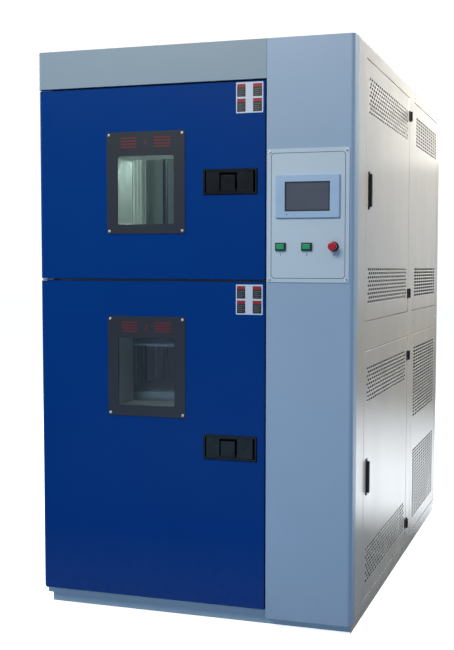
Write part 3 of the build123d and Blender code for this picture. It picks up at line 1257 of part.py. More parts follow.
def power_gland():
    """The gland of the mains lead in the back panel."""
    t = SHEET
    gland = rod_y(GLAND_RADIUS, GLAND_X, DEPTH, DEPTH + BACK_REACH * 0.4, GLAND_LEVEL)
    gland += rod_y(GLAND_RADIUS * 0.75, GLAND_X, DEPTH, DEPTH + BACK_REACH, GLAND_LEVEL)
    gland += rod_y(GLAND_BORE + t - SLIDE_FIT, GLAND_X, DEPTH - t, DEPTH, GLAND_LEVEL)
    gland += rod_y(GLAND_RADIUS, GLAND_X, DEPTH - 3 * t, DEPTH - t, GLAND_LEVEL)
    return gland - rod_y(GLAND_BORE, GLAND_X, DEPTH - 3 * t, DEPTH + BACK_REACH, GLAND_LEVEL)


# Service doors of the right side

def service_door(z0, z1, vents, lock_level):
    y0 = FRONT_POST_END + PANEL_SEAM
    y1 = MID_POST_START - PANEL_SEAM
    low = z0 + PANEL_SEAM
    high = z1 - PANEL_SEAM
    plane = Plane(origin=(WIDTH - SHEET, 0, 0), x_dir=(0, 1, 0), z_dir=(1, 0, 0))
    wires = []
    for level in vents:
        wires += slot_field(SERVICE_VENT_CENTRE, level, SLOT_COLUMNS, SLOT_ROWS, SLOT_LENGTH,
                            SLOT_PITCH, 1)
    sheet = slotted_sheet(plane, y0, y1, low, high, wires)
    x0 = WIDTH - PANEL_DEPTH
    lips = block(x0, WIDTH - SHEET, y0, y1, low, high)
    lips -= block(x0, WIDTH - SHEET, y0 + SHEET, y1 - SHEET, low + SHEET, high - SHEET)
    door = sheet + lips
    pivot_z = lock_pivot(lock_level)
    return door - rod_x(LEVER_SHAFT_RADIUS + 1.0, WIDTH - SHEET, WIDTH, LOCK_Y, pivot_z)


def lock_pivot(level):
    """The level of the turn handle's axis, near the top of its plate."""
    return level + LEVER_LENGTH / 2 - LEVER_WIDTH / 2


def knuckle_spans(level):
    """Bottom and top of the lower, middle and upper knuckle of one hinge."""
    low = level - HINGE_HEIGHT / 2
    high = level + HINGE_HEIGHT / 2
    gap = HINGE_KNUCKLE_GAP
    return ((low, low + HINGE_KNUCKLE), (low + HINGE_KNUCKLE + gap, high - HINGE_KNUCKLE - gap),
            (high - HINGE_KNUCKLE, high))


def hinge_leaf(level, side, spans):
    """A leaf on the side's face with its knuckles; side -1 is the door's, 1 the post's."""
    y = MID_POST_START
    low = level - HINGE_HEIGHT / 2
    high = level + HINGE_HEIGHT / 2
    near = HINGE_BARREL_RADIUS + HINGE_CLEARANCE
    ys = sorted((y + side * near, y + side * HINGE_LEAF))
    leaf = block(WIDTH, WIDTH + HINGE_THICKNESS, ys[0], ys[1], low, high)
    for z0, z1 in spans:
        inner = sorted((y, y + side * (near + 1)))
        leaf += block(WIDTH + HINGE_CLEARANCE, WIDTH + HINGE_THICKNESS, inner[0], inner[1], z0, z1)
        leaf += rod_z(HINGE_BARREL_RADIUS, HINGE_X, y, z0, z1)
    return leaf


def service_hinge_posts():
    pieces = []
    for level in UPPER_HINGE_LEVELS + LOWER_HINGE_LEVELS:
        leaf = hinge_leaf(level, 1, knuckle_spans(level)[1:2])
        pieces.append(leaf + rod_z(HINGE_PIN_RADIUS, HINGE_X, MID_POST_START,
                                   level - HINGE_HEIGHT / 2, level + HINGE_HEIGHT / 2))
    return pieces


def service_hardware(levels, lock_level):
    """The door's hinge leaves and the plate of its turn handle."""
    pieces = []
    for level in levels:
        low, middle, high = knuckle_spans(level)
        leaf = hinge_leaf(level, -1, (low, high))
        pieces.append(leaf - rod_z(HINGE_PIN_RADIUS + HINGE_PIN_FIT, HINGE_X, MID_POST_START,
                                   level - HINGE_HEIGHT / 2, level + HINGE_HEIGHT / 2))
    half = LOCK_PLATE_WIDTH / 2
    plate = block(WIDTH, WIDTH + LOCK_PLATE_THICKNESS, LOCK_Y - half, LOCK_Y + half,
                  lock_level - LOCK_PLATE_HEIGHT / 2, lock_level + LOCK_PLATE_HEIGHT / 2)
    plate = round_edges(plate, Axis.X, half * 0.6)
    plate += rod_x(LEVER_SHAFT_RADIUS + 0.8, WIDTH - SHEET - CAM_THICKNESS, WIDTH, LOCK_Y,
                   lock_pivot(lock_level))
    plate -= rod_x(LEVER_SHAFT_RADIUS - 2 + LEVER_SHAFT_FIT, WIDTH - SHEET - CAM_THICKNESS,
                   WIDTH + LOCK_PLATE_THICKNESS, LOCK_Y, lock_pivot(lock_level))
    return pieces + [plate]


def service_lever(lock_level):
    """The turn handle with its shaft through the door and the cam on the shaft's end."""
    z = lock_pivot(lock_level)
    x0 = WIDTH + LOCK_PLATE_THICKNESS + LEVER_CLEARANCE
    x1 = WIDTH + SIDE_REACH
    half = LEVER_WIDTH / 2
    lever = block(x0, x1, LOCK_Y - half, LOCK_Y + half, z - LEVER_LENGTH + half, z + half)
    lever = round_edges(lever, Axis.X, half * 0.9)
    lever = fillet(lever.faces().sort_by(Axis.X)[-1].edges(), LEVER_THICKNESS / 4)
    cam_x = WIDTH - CAM_SET
    lever += rod_x(LEVER_SHAFT_RADIUS - 2, cam_x, x0, LOCK_Y, z)
    cam = block(cam_x - CAM_THICKNESS, cam_x, LOCK_Y - CAM_REACH, LOCK_Y + CAM_WIDTH / 2,
                z - CAM_WIDTH / 2, z + CAM_WIDTH / 2)
    return lever + round_edges(cam, Axis.X, CAM_WIDTH / 4)


# Everything is built and written here

def build_root():
    put("base_frame", *base_frame(), machine_floor(), door_sill())
    put("chamber_stand", *chamber_stand())
    put("body_frame", *body_frame())
    put("left_side_panel", left_side_panel())
    put("back_panel", back_panel(), top_panel())
    put("rear_bay_panels", *rear_bay_panels())
    put("header_panel", header_panel())
    put("control_column", control_column())
    put("control_plate", control_plate())
    put("panel_screws", *panel_screws())
    put("hmi_bezel", hmi_bezel())
    put("hmi_screen", hmi_screen())
    put("switch_bezels", *switch_bezels())
    put("front_frame", front_frame())
    put("hot_liner", liner(DIVIDER_TOP, HOT_TOP, HOT_FAN_LEVEL, DIVIDER_TOP))
    put("cold_liner", liner(COLD_BOTTOM, DIVIDER_BOTTOM, COLD_FAN_LEVEL, DIVIDER_BOTTOM),
        divider_frame())
    put("chamber_insulation", *chamber_insulation())
    put("door_hinge_brackets", *door_hinge_brackets())
    put("lift_guides", *lift_guides())
    put("fan_motors", fan_motor(HOT_FAN_LEVEL), fan_motor(COLD_FAN_LEVEL), condenser_motor())
    put("air_baffles", *air_baffles())
    put("heater", heater())
    put("evaporator", evaporator())
    put("compressors", *compressors())
    put("condenser", *condenser())
    put("electrical_panel", electrical_panel())
    put("power_gland", power_gland())
    put("service_hinge_posts", *service_hinge_posts())


def build_front_door(name, z0, z1, radii, mouth, plate_bottom, lift, latch_level):
    put(f"{name}_door_skin", door_skin(z0, z1, *radii, plate_bottom, lift, latch_level))
    put(f"{name}_door_pan", door_pan(z0, z1, *mouth, plate_bottom, lift))
    put(f"{name}_door_gasket", door_gasket(*mouth))
    put(f"{name}_window_plate", *window_plate(plate_bottom, lift))
    put(f"{name}_window_glass", *window_glass(plate_bottom, lift))
    put(f"{name}_latch_housing", latch_housing(latch_level))
    put(f"{name}_latch_handle", latch_handle(latch_level))
    put(f"{name}_latch_tab", latch_tab(latch_level))
    put(f"{name}_latch_bolt", latch_bolt(latch_level))


def build_service_door(name, z0, z1, vents, hinge_levels, lock_level):
    put(f"{name}_service_door", service_door(z0, z1, vents, lock_level))
    put(f"{name}_service_hardware", *service_hardware(hinge_levels, lock_level))
    put(f"{name}_service_lever", service_lever(lock_level))


def build_moving():
    put("hot_fan", fan_wheel(HOT_FAN_LEVEL))
    put("cold_fan", fan_wheel(COLD_FAN_LEVEL))
    put("condenser_fan", condenser_fan())
    put("basket_plates", *basket_plates())
    put("basket_frame", basket_frame())
    put("start_button", button_cap(START_CENTRE))
    put("stop_button", button_cap(STOP_CENTRE))
    put("estop_head", estop_head())


build_root()
build_front_door("upper", UPPER_DOOR_BOTTOM, UPPER_DOOR_TOP,
                 (UPPER_CORNER_RADIUS, DOOR_FREE_RADIUS), (DIVIDER_TOP, HOT_TOP),
                 UPPER_PLATE_BOTTOM, UPPER_GLASS_LIFT, UPPER_LATCH_LEVEL)
build_front_door("lower", LOWER_DOOR_BOTTOM, LOWER_DOOR_TOP,
                 (DOOR_FREE_RADIUS, LOWER_CORNER_RADIUS), (COLD_BOTTOM, DIVIDER_BOTTOM),
                 LOWER_PLATE_BOTTOM, LOWER_GLASS_LIFT, LOWER_LATCH_LEVEL)
build_service_door("upper", BAND_TOP, TOP_RAIL_BOTTOM,
                   (UPPER_DOOR_TOP_VENT, UPPER_DOOR_LOW_VENT), UPPER_HINGE_LEVELS, UPPER_LOCK_LEVEL)
build_service_door("lower", BOTTOM_RAIL_TOP, BAND_BOTTOM,
                   (LOWER_DOOR_TOP_VENT, LOWER_DOOR_LOW_VENT), LOWER_HINGE_LEVELS, LOWER_LOCK_LEVEL)
build_moving()
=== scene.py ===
# %% [markdown]
# # A two-zone thermal test chamber, dressed for its portrait
# The cabinet's sheet metal, doors, glass and works come from the CAD frame. This
# lesson gives each of them its real finish, makes the pieces that need finer form
# than plain plates, and sets up a studio that shows paint, steel and glass plainly.

import json
import math

import bmesh
import bpy
import numpy as np
from mathutils import Matrix, Vector


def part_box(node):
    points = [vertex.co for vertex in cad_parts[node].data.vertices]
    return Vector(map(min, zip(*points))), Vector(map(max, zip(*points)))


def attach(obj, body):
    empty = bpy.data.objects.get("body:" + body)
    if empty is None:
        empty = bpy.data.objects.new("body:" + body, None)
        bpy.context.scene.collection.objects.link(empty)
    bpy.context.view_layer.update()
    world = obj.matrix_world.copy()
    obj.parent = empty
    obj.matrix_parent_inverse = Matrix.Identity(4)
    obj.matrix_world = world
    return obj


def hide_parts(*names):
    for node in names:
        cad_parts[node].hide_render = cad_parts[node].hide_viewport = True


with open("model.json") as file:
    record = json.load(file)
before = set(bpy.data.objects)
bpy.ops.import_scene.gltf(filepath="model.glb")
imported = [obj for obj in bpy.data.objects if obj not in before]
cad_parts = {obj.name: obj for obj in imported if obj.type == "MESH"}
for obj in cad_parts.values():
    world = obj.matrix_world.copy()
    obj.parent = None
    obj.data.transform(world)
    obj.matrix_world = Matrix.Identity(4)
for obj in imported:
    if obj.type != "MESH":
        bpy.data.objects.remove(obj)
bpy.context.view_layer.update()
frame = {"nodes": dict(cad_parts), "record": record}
nodes = frame["nodes"]

# %% [markdown]
# All places below are worked out from the boxes of CAD nodes. The front left edge
# of the header is the cabinet's own corner: x runs right from it, y runs back from
# the front faces, z runs up from the floor. MM turns millimetres into metres.

# %% The cabinet's corner
MM = 0.001
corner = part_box("header_panel")[0]
LEFT = corner.x
FRONT = corner.y


def cabinet(x, y, z):
    """Millimetres from the front left edge as a point in metres."""
    return np.stack(np.broadcast_arrays(LEFT + np.asarray(x) * MM, FRONT + np.asarray(y) * MM,
                                        np.asarray(z) * MM), -1).astype(float)


def extent(node):
    """A CAD node's box in millimetres from the cabinet's corner: x0, x1, y0, y1, z0, z1."""
    low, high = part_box(node)
    return tuple(float(v) / MM for v in (low.x - LEFT, high.x - LEFT, low.y - FRONT, high.y - FRONT,
                                         low.z, high.z))


CABINET_WIDTH = extent("control_column")[1]
CABINET_DEPTH = extent("back_panel")[3]
print("cabinet %.0f wide, %.0f deep, %.0f high"
      % (CABINET_WIDTH, CABINET_DEPTH, extent("header_panel")[5]))

# %% [markdown]
# The picture was taken from the right of the cabinet, at chest height, with the
# camera nearly level. A camera fitted to the door edges gives its place, its turn
# and its focal length. The picture is a cut from a larger one, so the lens axis
# lies right of its middle: that is what the shift says.

# %% Camera at the picture's place
IMAGE_WIDTH = 454
IMAGE_HEIGHT = 650
FOCAL_PIXELS = 1015.33
AXIS_PIXEL_X = 281.7
AXIS_PIXEL_Y = 333.8
YAW = 0.295
PITCH = -0.065
ROLL = -0.004
CAMERA_PLACE = (1807.1, -3096.7, 1178.6)


def camera_axes(yaw, pitch, roll):
    """Right, up and backward axes. The view direction is (-sin yaw cos pitch,
    cos yaw cos pitch, sin pitch), and roll turns the picture about it."""
    forward = Vector((-math.sin(yaw) * math.cos(pitch), math.cos(yaw) * math.cos(pitch),
                      math.sin(pitch)))
    right = forward.cross(Vector((0, 0, 1))).normalized()
    down = forward.cross(right)
    across = right * math.cos(roll) + down * math.sin(roll)
    up = right * math.sin(roll) - down * math.cos(roll)
    return across, up, -forward


lens = bpy.data.cameras.new("picture_camera")
lens.sensor_width = 36.0
lens.lens = FOCAL_PIXELS / IMAGE_HEIGHT * lens.sensor_width
lens.shift_x = -(AXIS_PIXEL_X - IMAGE_WIDTH / 2) / IMAGE_HEIGHT
lens.shift_y = (AXIS_PIXEL_Y - IMAGE_HEIGHT / 2) / IMAGE_HEIGHT
lens.clip_end = 80.0
camera = bpy.data.objects.new("picture_camera", lens)
bpy.context.scene.collection.objects.link(camera)
place = Matrix([axis.to_tuple() for axis in camera_axes(YAW, PITCH, ROLL)]).transposed().to_4x4()
place.translation = Vector(cabinet(*CAMERA_PLACE))
camera.matrix_world = place
bpy.context.scene.camera = camera
print("lens %.1f mm, shift %.3f %.3f" % (lens.lens, lens.shift_x, lens.shift_y))

# %% [markdown]
# Colours are written as ordinary screen values. Blender wants linear light, so one
# small function turns one into the other.

# %% Colours


def rgb(red, green, blue):
    """Screen values from 0 to 255 as linear light: c/12.92 below 0.04045, and
    ((c + 0.055)/1.055)^2.4 above it."""
    c = np.array((red, green, blue), float) / 255
    linear = np.where(c <= 0.04045, c / 12.92, ((c + 0.055) / 1.055) ** 2.4)
    return (*[float(v) for v in linear], 1.0)


DOOR_BLUE = rgb(2, 56, 130)
TRIM_BLUE_GREY = rgb(150, 174, 200)
CONTROL_PALE = rgb(187, 205, 219)
SIDE_BEIGE = rgb(200, 197, 190)
PLATE_GREY = rgb(46, 51, 60)
LATCH_BLACK = rgb(14, 20, 27)
STEEL = rgb(196, 204, 198)
DUST = rgb(150, 146, 138)
print("door blue as linear light:", [round(v, 3) for v in DOOR_BLUE[:3]])

# %% [markdown]
# The finishes share a few shader node groups. These helpers make an empty group,
# and add and join its nodes, so that each group below reads like its own recipe.

# %% Node helpers


def new_group(name, inputs, outputs):
    """An empty shader group. inputs are (name, socket type, default) and outputs
    are (name, socket type)."""
    group = bpy.data.node_groups.new(name, "ShaderNodeTree")
    for label, kind, default in inputs:
        socket = group.interface.new_socket(label, in_out="INPUT", socket_type=kind)
        socket.default_value = default
    for label, kind in outputs:
        group.interface.new_socket(label, in_out="OUTPUT", socket_type=kind)
    return group, group.nodes.new("NodeGroupInput"), group.nodes.new("NodeGroupOutput")


def feed(tree, value, socket):
    """Links a socket to an input, or sets the input to a plain value."""
    if isinstance(value, bpy.types.NodeSocket):
        tree.links.new(value, socket)
    else:
        socket.default_value = value


def maths(tree, operation, a, b=0.0, c=0.0, clamp=False):
    """One Math node; a, b and c are sockets or numbers."""
    node = tree.nodes.new("ShaderNodeMath")
    node.operation = operation
    node.use_clamp = clamp
    for value, socket in zip((a, b, c), node.inputs):
        feed(tree, value, socket)
    return node.outputs[0]


def object_point(tree):
    """The point in the piece's own coordinates."""
    return tree.nodes.new("ShaderNodeTexCoord").outputs["Object"]


def noise(tree, point, scale, detail=2.0, roughness=0.5):
    """A soft random value between 0 and 1 at the point."""
    node = tree.nodes.new("ShaderNodeTexNoise")
    node.inputs["Scale"].default_value = scale
    node.inputs["Detail"].default_value = detail
    node.inputs["Roughness"].default_value = roughness
    tree.links.new(point, node.inputs["Vector"])
    return node.outputs["Fac"]


def stretched(tree, point, factors):
    """The point with each axis multiplied by its factor."""
    node = tree.nodes.new("ShaderNodeVectorMath")
    node.operation = "MULTIPLY"
    tree.links.new(point, node.inputs[0])
    feed(tree, factors, node.inputs[1])
    return node.outputs[0]


def ramp(tree, value, low, high, out_low=0.0, out_high=1.0):
    """A straight ramp from out_low at low to out_high at high, held outside."""
    node = tree.nodes.new("ShaderNodeMapRange")
    feed(tree, value, node.inputs["Value"])
    for label, number in (("From Min", low), ("From Max", high), ("To Min", out_low),
                          ("To Max", out_high)):
        node.inputs[label].default_value = number
    return node.outputs[0]


def mixed(tree, factor, a, b, mode="MIX"):
    """A Mix node on colours; each of factor, a and b is a socket or a value."""
    node = tree.nodes.new("ShaderNodeMix")
    node.data_type = "RGBA"
    node.blend_type = mode
    feed(tree, factor, node.inputs["Factor"])
    colours = [socket for socket in node.inputs if socket.type == "RGBA"]
    feed(tree, a, colours[0])
    feed(tree, b, colours[1])
    return [socket for socket in node.outputs if socket.type == "RGBA"][0]


def shaded(tree, colour, amount):
    """The colour multiplied by a grey value."""
    grey = tree.nodes.new("ShaderNodeCombineColor")
    for socket in grey.inputs:
        tree.links.new(amount, socket)
    return mixed(tree, 1.0, colour, grey.outputs[0], "MULTIPLY")


def relief(tree, height, strength, distance, edge_radius):
    """A bump on top of edges that are rounded in the shading by edge_radius."""
    rounded = tree.nodes.new("ShaderNodeBevel")
    rounded.samples = 4
    feed(tree, edge_radius, rounded.inputs["Radius"])
    bump = tree.nodes.new("ShaderNodeBump")
    bump.inputs["Distance"].default_value = distance
    feed(tree, strength, bump.inputs["Strength"])
    tree.links.new(height, bump.inputs["Height"])
    tree.links.new(rounded.outputs[0], bump.inputs["Normal"])
    return bump.outputs[0]


FINISH_OUTPUTS = [("Color", "NodeSocketColor"), ("Roughness", "NodeSocketFloat"),
                  ("Normal", "NodeSocketVector")]

# %% [markdown]
# Powder coat is a baked plastic skin. It has a very fine orange peel, a slightly
# uneven gloss where hands and cloths have been, and a breath of dust near the
# floor. All the cabinet's paints share this, so it is one group with its own
# numbers in each paint. Fold is the radius that the shading gives to its edges.

# %% Powder coat
FOLD_RADIUS = 1.2 * MM
DOOR_FOLD = 6.0 * MM


def build_powder_coat():
    """Colour: the paint, a few percent lighter and darker in soft patches, mixed
    towards dust below 0.3 m. Roughness: the paint's own, plus wiped streaks.
    Normal: two sizes of noise as an orange peel."""
    group, given, result = new_group(
        "powder_coat",
        [("Color", "NodeSocketColor", (0.5, 0.5, 0.5, 1)), ("Gloss", "NodeSocketFloat", 0.35),
         ("Peel", "NodeSocketFloat", 0.3), ("Dust", "NodeSocketFloat", 0.3),
         ("Fold", "NodeSocketFloat", FOLD_RADIUS)], FINISH_OUTPUTS)
    point = object_point(group)
    patches = maths(group, "MULTIPLY_ADD", noise(group, point, 3.0, 3.0), 0.12, 0.94)
    varied = shaded(group, given.outputs["Color"], patches)
    axes = group.nodes.new("ShaderNodeSeparateXYZ")
    group.links.new(point, axes.inputs[0])
    near_floor = ramp(group, axes.outputs["Z"], 0.0, 0.3, 1.0, 0.0)
    speck = noise(group, point, 60.0, 4.0, 0.7)
    settled = maths(group, "MULTIPLY", near_floor, speck)
    dust = maths(group, "MULTIPLY", settled, given.outputs["Dust"], clamp=True)
    group.links.new(mixed(group, dust, varied, DUST), result.inputs["Color"])
    streaks = noise(group, stretched(group, point, (6.0, 6.0, 1.2)), 1.0, 4.0, 0.6)
    wiped = maths(group, "MULTIPLY_ADD", streaks, 0.16, -0.08)
    rough = maths(group, "ADD", maths(group, "ADD", given.outputs["Gloss"], wiped),
                  maths(group, "MULTIPLY", dust, 0.3), clamp=True)
    group.links.new(rough, result.inputs["Roughness"])
    peel = maths(group, "ADD", noise(group, point, 900.0, 1.0), noise(group, point, 260.0, 1.0))
    group.links.new(relief(group, peel, given.outputs["Peel"], 0.04 * MM, given.outputs["Fold"]),
                    result.inputs["Normal"])
    return group


powder_coat = build_powder_coat()
print("powder coat takes:",
      [s.name for s in powder_coat.interface.items_tree if s.in_out == "INPUT"])

# %% [markdown]
# Sheet stainless is brushed one way. Fine parallel scratches pull a highlight into
# a streak, so this group stretches a noise along one axis and uses it for colour,
# roughness and bump alike.

# %% Brushed steel
STEEL_EDGE = 0.5 * MM


def build_brushed_steel():
    """The scratches are a noise whose space is multiplied by Stretch; a large
    number makes them fine across that axis."""
    group, given, result = new_group(
        "brushed_steel",
        [("Color", "NodeSocketColor", (0.6, 0.6, 0.6, 1)), ("Gloss", "NodeSocketFloat", 0.3),
         ("Stretch", "NodeSocketVector", (4.0, 4.0, 400.0)), ("Depth", "NodeSocketFloat", 0.2)],
        FINISH_OUTPUTS)
    point = object_point(group)
    scratches = noise(group, stretched(group, point, given.outputs["Stretch"]), 1.0, 3.0, 0.7)
    clouds = maths(group, "MULTIPLY_ADD", noise(group, point, 5.0, 2.0), 0.2, -0.1)
    shade = maths(group, "MULTIPLY_ADD", scratches, 0.14, 0.92)
    group.links.new(shaded(group, given.outputs["Color"], shade), result.inputs["Color"])
    rough = maths(group, "MULTIPLY_ADD", scratches, 0.15, given.outputs["Gloss"])
    group.links.new(maths(group, "ADD", rough, clouds, clamp=True), result.inputs["Roughness"])
    group.links.new(relief(group, scratches, given.outputs["Depth"], 0.03 * MM, STEEL_EDGE),
                    result.inputs["Normal"])
    return group


brushed_steel = build_brushed_steel()

# %% [markdown]
# Moulded plastic is spark-eroded to a fine grain on its outside, and a coloured
# lens is smooth but for fingerprints. One group covers both by its numbers.

# %% Moulded plastic
MOULD_EDGE = 0.7 * MM


def build_moulded_plastic():
    """Colour with slow variation, roughness with smudges, and a grain bump."""
    group, given, result = new_group(
        "moulded_plastic",
        [("Color", "NodeSocketColor", (0.1, 0.1, 0.1, 1)), ("Gloss", "NodeSocketFloat", 0.4),
         ("Grain", "NodeSocketFloat", 0.2), ("Smudge", "NodeSocketFloat", 0.2)], FINISH_OUTPUTS)
    point = object_point(group)
    smudges = noise(group, point, 28.0, 4.0, 0.6)
    shade = maths(group, "MULTIPLY_ADD", smudges, 0.16, 0.92)
    group.links.new(shaded(group, given.outputs["Color"], shade), result.inputs["Color"])
    marks = maths(group, "MULTIPLY", maths(group, "SUBTRACT", smudges, 0.5),
                  given.outputs["Smudge"])
    group.links.new(maths(group, "ADD", given.outputs["Gloss"], marks, clamp=True),
                    result.inputs["Roughness"])
    grain = relief(group, noise(group, point, 2600.0, 1.0), given.outputs["Grain"], 0.03 * MM,
                   MOULD_EDGE)
    group.links.new(grain, result.inputs["Normal"])
    return group


moulded_plastic = build_moulded_plastic()

# %% [markdown]
# A material places its group, sets the group's numbers, and keeps the Principled
# shader itself, so that every finish below is a handful of values.

# %% Materials

COAT_ROUGHNESS = 0.08


def finish(name, group, metallic=0.0, specular=0.5, coat=0.0, **values):
    """A material whose Principled shader reads Color, Roughness and Normal from a
    group; values are the group's inputs."""
    material = bpy.data.materials.new(name)
    material.use_nodes = True
    tree = material.node_tree
    shader = tree.nodes["Principled BSDF"]
    shader.inputs["Metallic"].default_value = metallic
    shader.inputs["Specular IOR Level"].default_value = specular
    shader.inputs["Coat Weight"].default_value = coat
    shader.inputs["Coat Roughness"].default_value = COAT_ROUGHNESS
    node = tree.nodes.new("ShaderNodeGroup")
    node.node_tree = group
    for label, value in values.items():
        node.inputs[label].default_value = value
    for label, socket in (("Color", "Base Color"), ("Roughness", "Roughness"),
                          ("Normal", "Normal")):
        tree.links.new(node.outputs[label], shader.inputs[socket])
    return material


def window_pane(name, tint, lamp_tint=(0.50, 0.54, 0.54, 1.0)):
    """Glass that is transmissive to the eye and lets a share of the lamp light pass,
    as coated panes do, with a wiped unevenness in its roughness."""
    material = bpy.data.materials.new(name)
    material.use_nodes = True
    tree = material.node_tree
    shader = tree.nodes["Principled BSDF"]
    shader.inputs["Base Color"].default_value = tint
    shader.inputs["Transmission Weight"].default_value = 1.0
    shader.inputs["IOR"].default_value = 1.3
    wiped = noise(tree, object_point(tree), 9.0, 4.0, 0.6)
    tree.links.new(maths(tree, "MULTIPLY", wiped, 0.03), shader.inputs["Roughness"])
    clear = tree.nodes.new("ShaderNodeBsdfTransparent")
    clear.inputs["Color"].default_value = lamp_tint
    rays = tree.nodes.new("ShaderNodeLightPath")
    lit = maths(tree, "MAXIMUM", rays.outputs["Is Shadow Ray"], rays.outputs["Is Diffuse Ray"])
    choose = tree.nodes.new("ShaderNodeMixShader")
    tree.links.new(lit, choose.inputs["Fac"])
    tree.links.new(shader.outputs[0], choose.inputs[1])
    tree.links.new(clear.outputs[0], choose.inputs[2])
    tree.links.new(choose.outputs[0], tree.nodes["Material Output"].inputs["Surface"])
    return material


def paint(name, colour, gloss, peel, dust, **more):
    """A powder coated finish; more goes to the shader or the group."""
    return finish(name, powder_coat, Color=colour, Gloss=gloss, Peel=peel, Dust=dust, **more)


def metal(name, colour, gloss, stretch, depth, metallic=1.0):
    """A brushed metal, its scratches drawn fine across the axes of a large stretch."""
    return finish(name, brushed_steel, metallic=metallic, Color=colour, Gloss=gloss,
                  Stretch=stretch, Depth=depth)


def plastic(name, colour, gloss, grain=0.2, smudge=0.2, **more):
    """A moulded plastic, also used for lenses, films and inks."""
    return finish(name, moulded_plastic, Color=colour, Gloss=gloss, Grain=grain, Smudge=smudge,
                  **more)


FINISHES = {
    "door_paint": paint("door_powder_coat", DOOR_BLUE, 0.36, 0.35, 0.1, Fold=DOOR_FOLD,
                        specular=0.06),
    "trim_paint": paint("trim_powder_coat", TRIM_BLUE_GREY, 0.42, 0.35, 0.3, specular=0.4),
    # The plinth's paint is far lighter than the trim's: painted light that lifts it out of the
    # shade under the doors.
    "base_paint": paint("plinth_painted_light_coat", rgb(196, 216, 232), 0.5, 0.3, 0.3, specular=0.4),
    "side_paint": paint("side_satin_coat", SIDE_BEIGE, 0.24, 0.5, 0.3, specular=0.6),
    "control_paint": paint("control_plate_coat", CONTROL_PALE, 0.4, 0.15, 0.0, specular=0.4),
    "dark_plate": paint("window_plate_coat", PLATE_GREY, 0.42, 0.3, 0.0, specular=0.25),
    "motor_paint": paint("motor_enamel", rgb(52, 56, 60), 0.4, 0.6, 0.6),
    "stainless": metal("chamber_stainless", STEEL, 0.48, (3.0, 3.0, 260.0), 0.2),
    "zinc": metal("zinc_plated_steel", rgb(176, 178, 180), 0.34, (60.0, 60.0, 60.0), 0.1),
    "nickel": metal("polished_nickel", rgb(222, 224, 226), 0.14, (40.0, 40.0, 40.0), 0.02),
    "copper_fins": metal("fin_aluminium", rgb(196, 197, 194), 0.4, (20.0, 20.0, 300.0), 0.1),
    "insulation": plastic("fibre_insulation", rgb(216, 202, 158), 0.9, grain=1.0),
    "seal": plastic("silicone_seal", rgb(38, 40, 46), 0.55, grain=0.5),
    "black_plastic": plastic("black_moulding", rgb(26, 28, 32), 0.45, grain=0.3),
    "latch_black": plastic("latch_moulding", LATCH_BLACK, 0.34, smudge=0.3, specular=0.22),
    "bezel_plastic": plastic("operator_panel_moulding", rgb(160, 188, 219), 0.42, grain=0.35),
    "screen": plastic("operator_screen", rgb(82, 86, 98), 0.2, grain=0.0, coat=0.4),
    "green_lens": plastic("green_lens", rgb(38, 160, 104), 0.2, grain=0.0, coat=0.5),
    "red_plastic": plastic("red_head", rgb(178, 18, 42), 0.25, grain=0.05, coat=0.4),
    "window": window_pane("window_glass", (0.94, 0.98, 0.97, 1.0)),
}
print("finishes:", len(FINISHES))

# %% [markdown]
# Each CAD node names a material slot in its record, so the finishes are handed out
# by that slot. A few nodes get a finish of their own. The header is a darker copy of
# the column's paint: painted shade against the stronger light at the top. The
# baffles and guide rods are of darker steel: painted shade for the chamber's shadow,
# which also dims the rods' highlight. The hot zone's walls are bleached by heat. The
# cold zone's window is of darker glass: painted shade for its unlit chamber. The door
# brackets are painted pale, and lighter still as painted light, so that their
# shaded strip in the door gap reads bright.

# %% Dress the CAD nodes
OWN_FINISHES = {
    # Header: a darker copy of the trim paint, painted shade against the stronger light at the top.
    "header_panel": paint("header_shaded_powder_coat", rgb(136, 157, 174), 0.42, 0.35, 0.0, specular=0.4),
    # Baffles: darker steel, painted shade for their shadowed place behind the lit wall.
    "air_baffles": metal("baffle_shaded_stainless", rgb(150, 158, 156), 0.42, (3.0, 3.0, 260.0), 0.2),
    "hot_liner": metal("hot_liner_stainless", STEEL, 0.45, (3.0, 3.0, 260.0), 0.2, metallic=0.15),
    # Cold window: darker glass, painted shade for the unlit chamber behind it.
    "lower_window_glass": window_pane("cold_window_shaded_glass", (0.66, 0.72, 0.80, 1.0)),
    # Guide rods: darker steel, painted shade that dims their highlight.
    "lift_guides": metal("guide_rod_shaded_steel", rgb(62, 67, 70), 0.45, (40.0, 40.0, 40.0), 0.02),
    # Brackets: pale paint, lighter still as painted light, so their shaded strip in the door gap
    # reads bright.
    "door_hinge_brackets": paint("bracket_pale_painted_light_coat", rgb(232, 238, 248), 0.35, 0.2, 0.0),
}
slot_of = {row["node"]: row["material_slot"] for row in frame["record"]["subparts"]}
for name, node in nodes.items():
    node.data.materials.clear()
    node.data.materials.append(OWN_FINISHES.get(name) or FINISHES[slot_of[name]])
print("dressed nodes:", len(slot_of))

# %% [markdown]
# New pieces are grids: points worked out with numpy and joined by four-sided
# faces. One helper numbers the faces of a grid, one stacks several grids into one
# set, and one turns that set into a mesh which rides on a body of the cabinet.

# %% From grids to pieces


def grid_faces(rows, columns, wrap=False):
    """Faces between neighbouring points of a rows x columns grid. With wrap the
    last column also joins the first."""
    r = np.arange(rows - 1)[:, None]
    c = np.arange(columns if wrap else columns - 1)[None, :]
    d = (c + 1) % columns
    corners = (r * columns + c, r * columns + d, (r + 1) * columns + d, (r + 1) * columns + c)
    return np.stack(np.broadcast_arrays(*corners), -1).reshape(-1, 4)


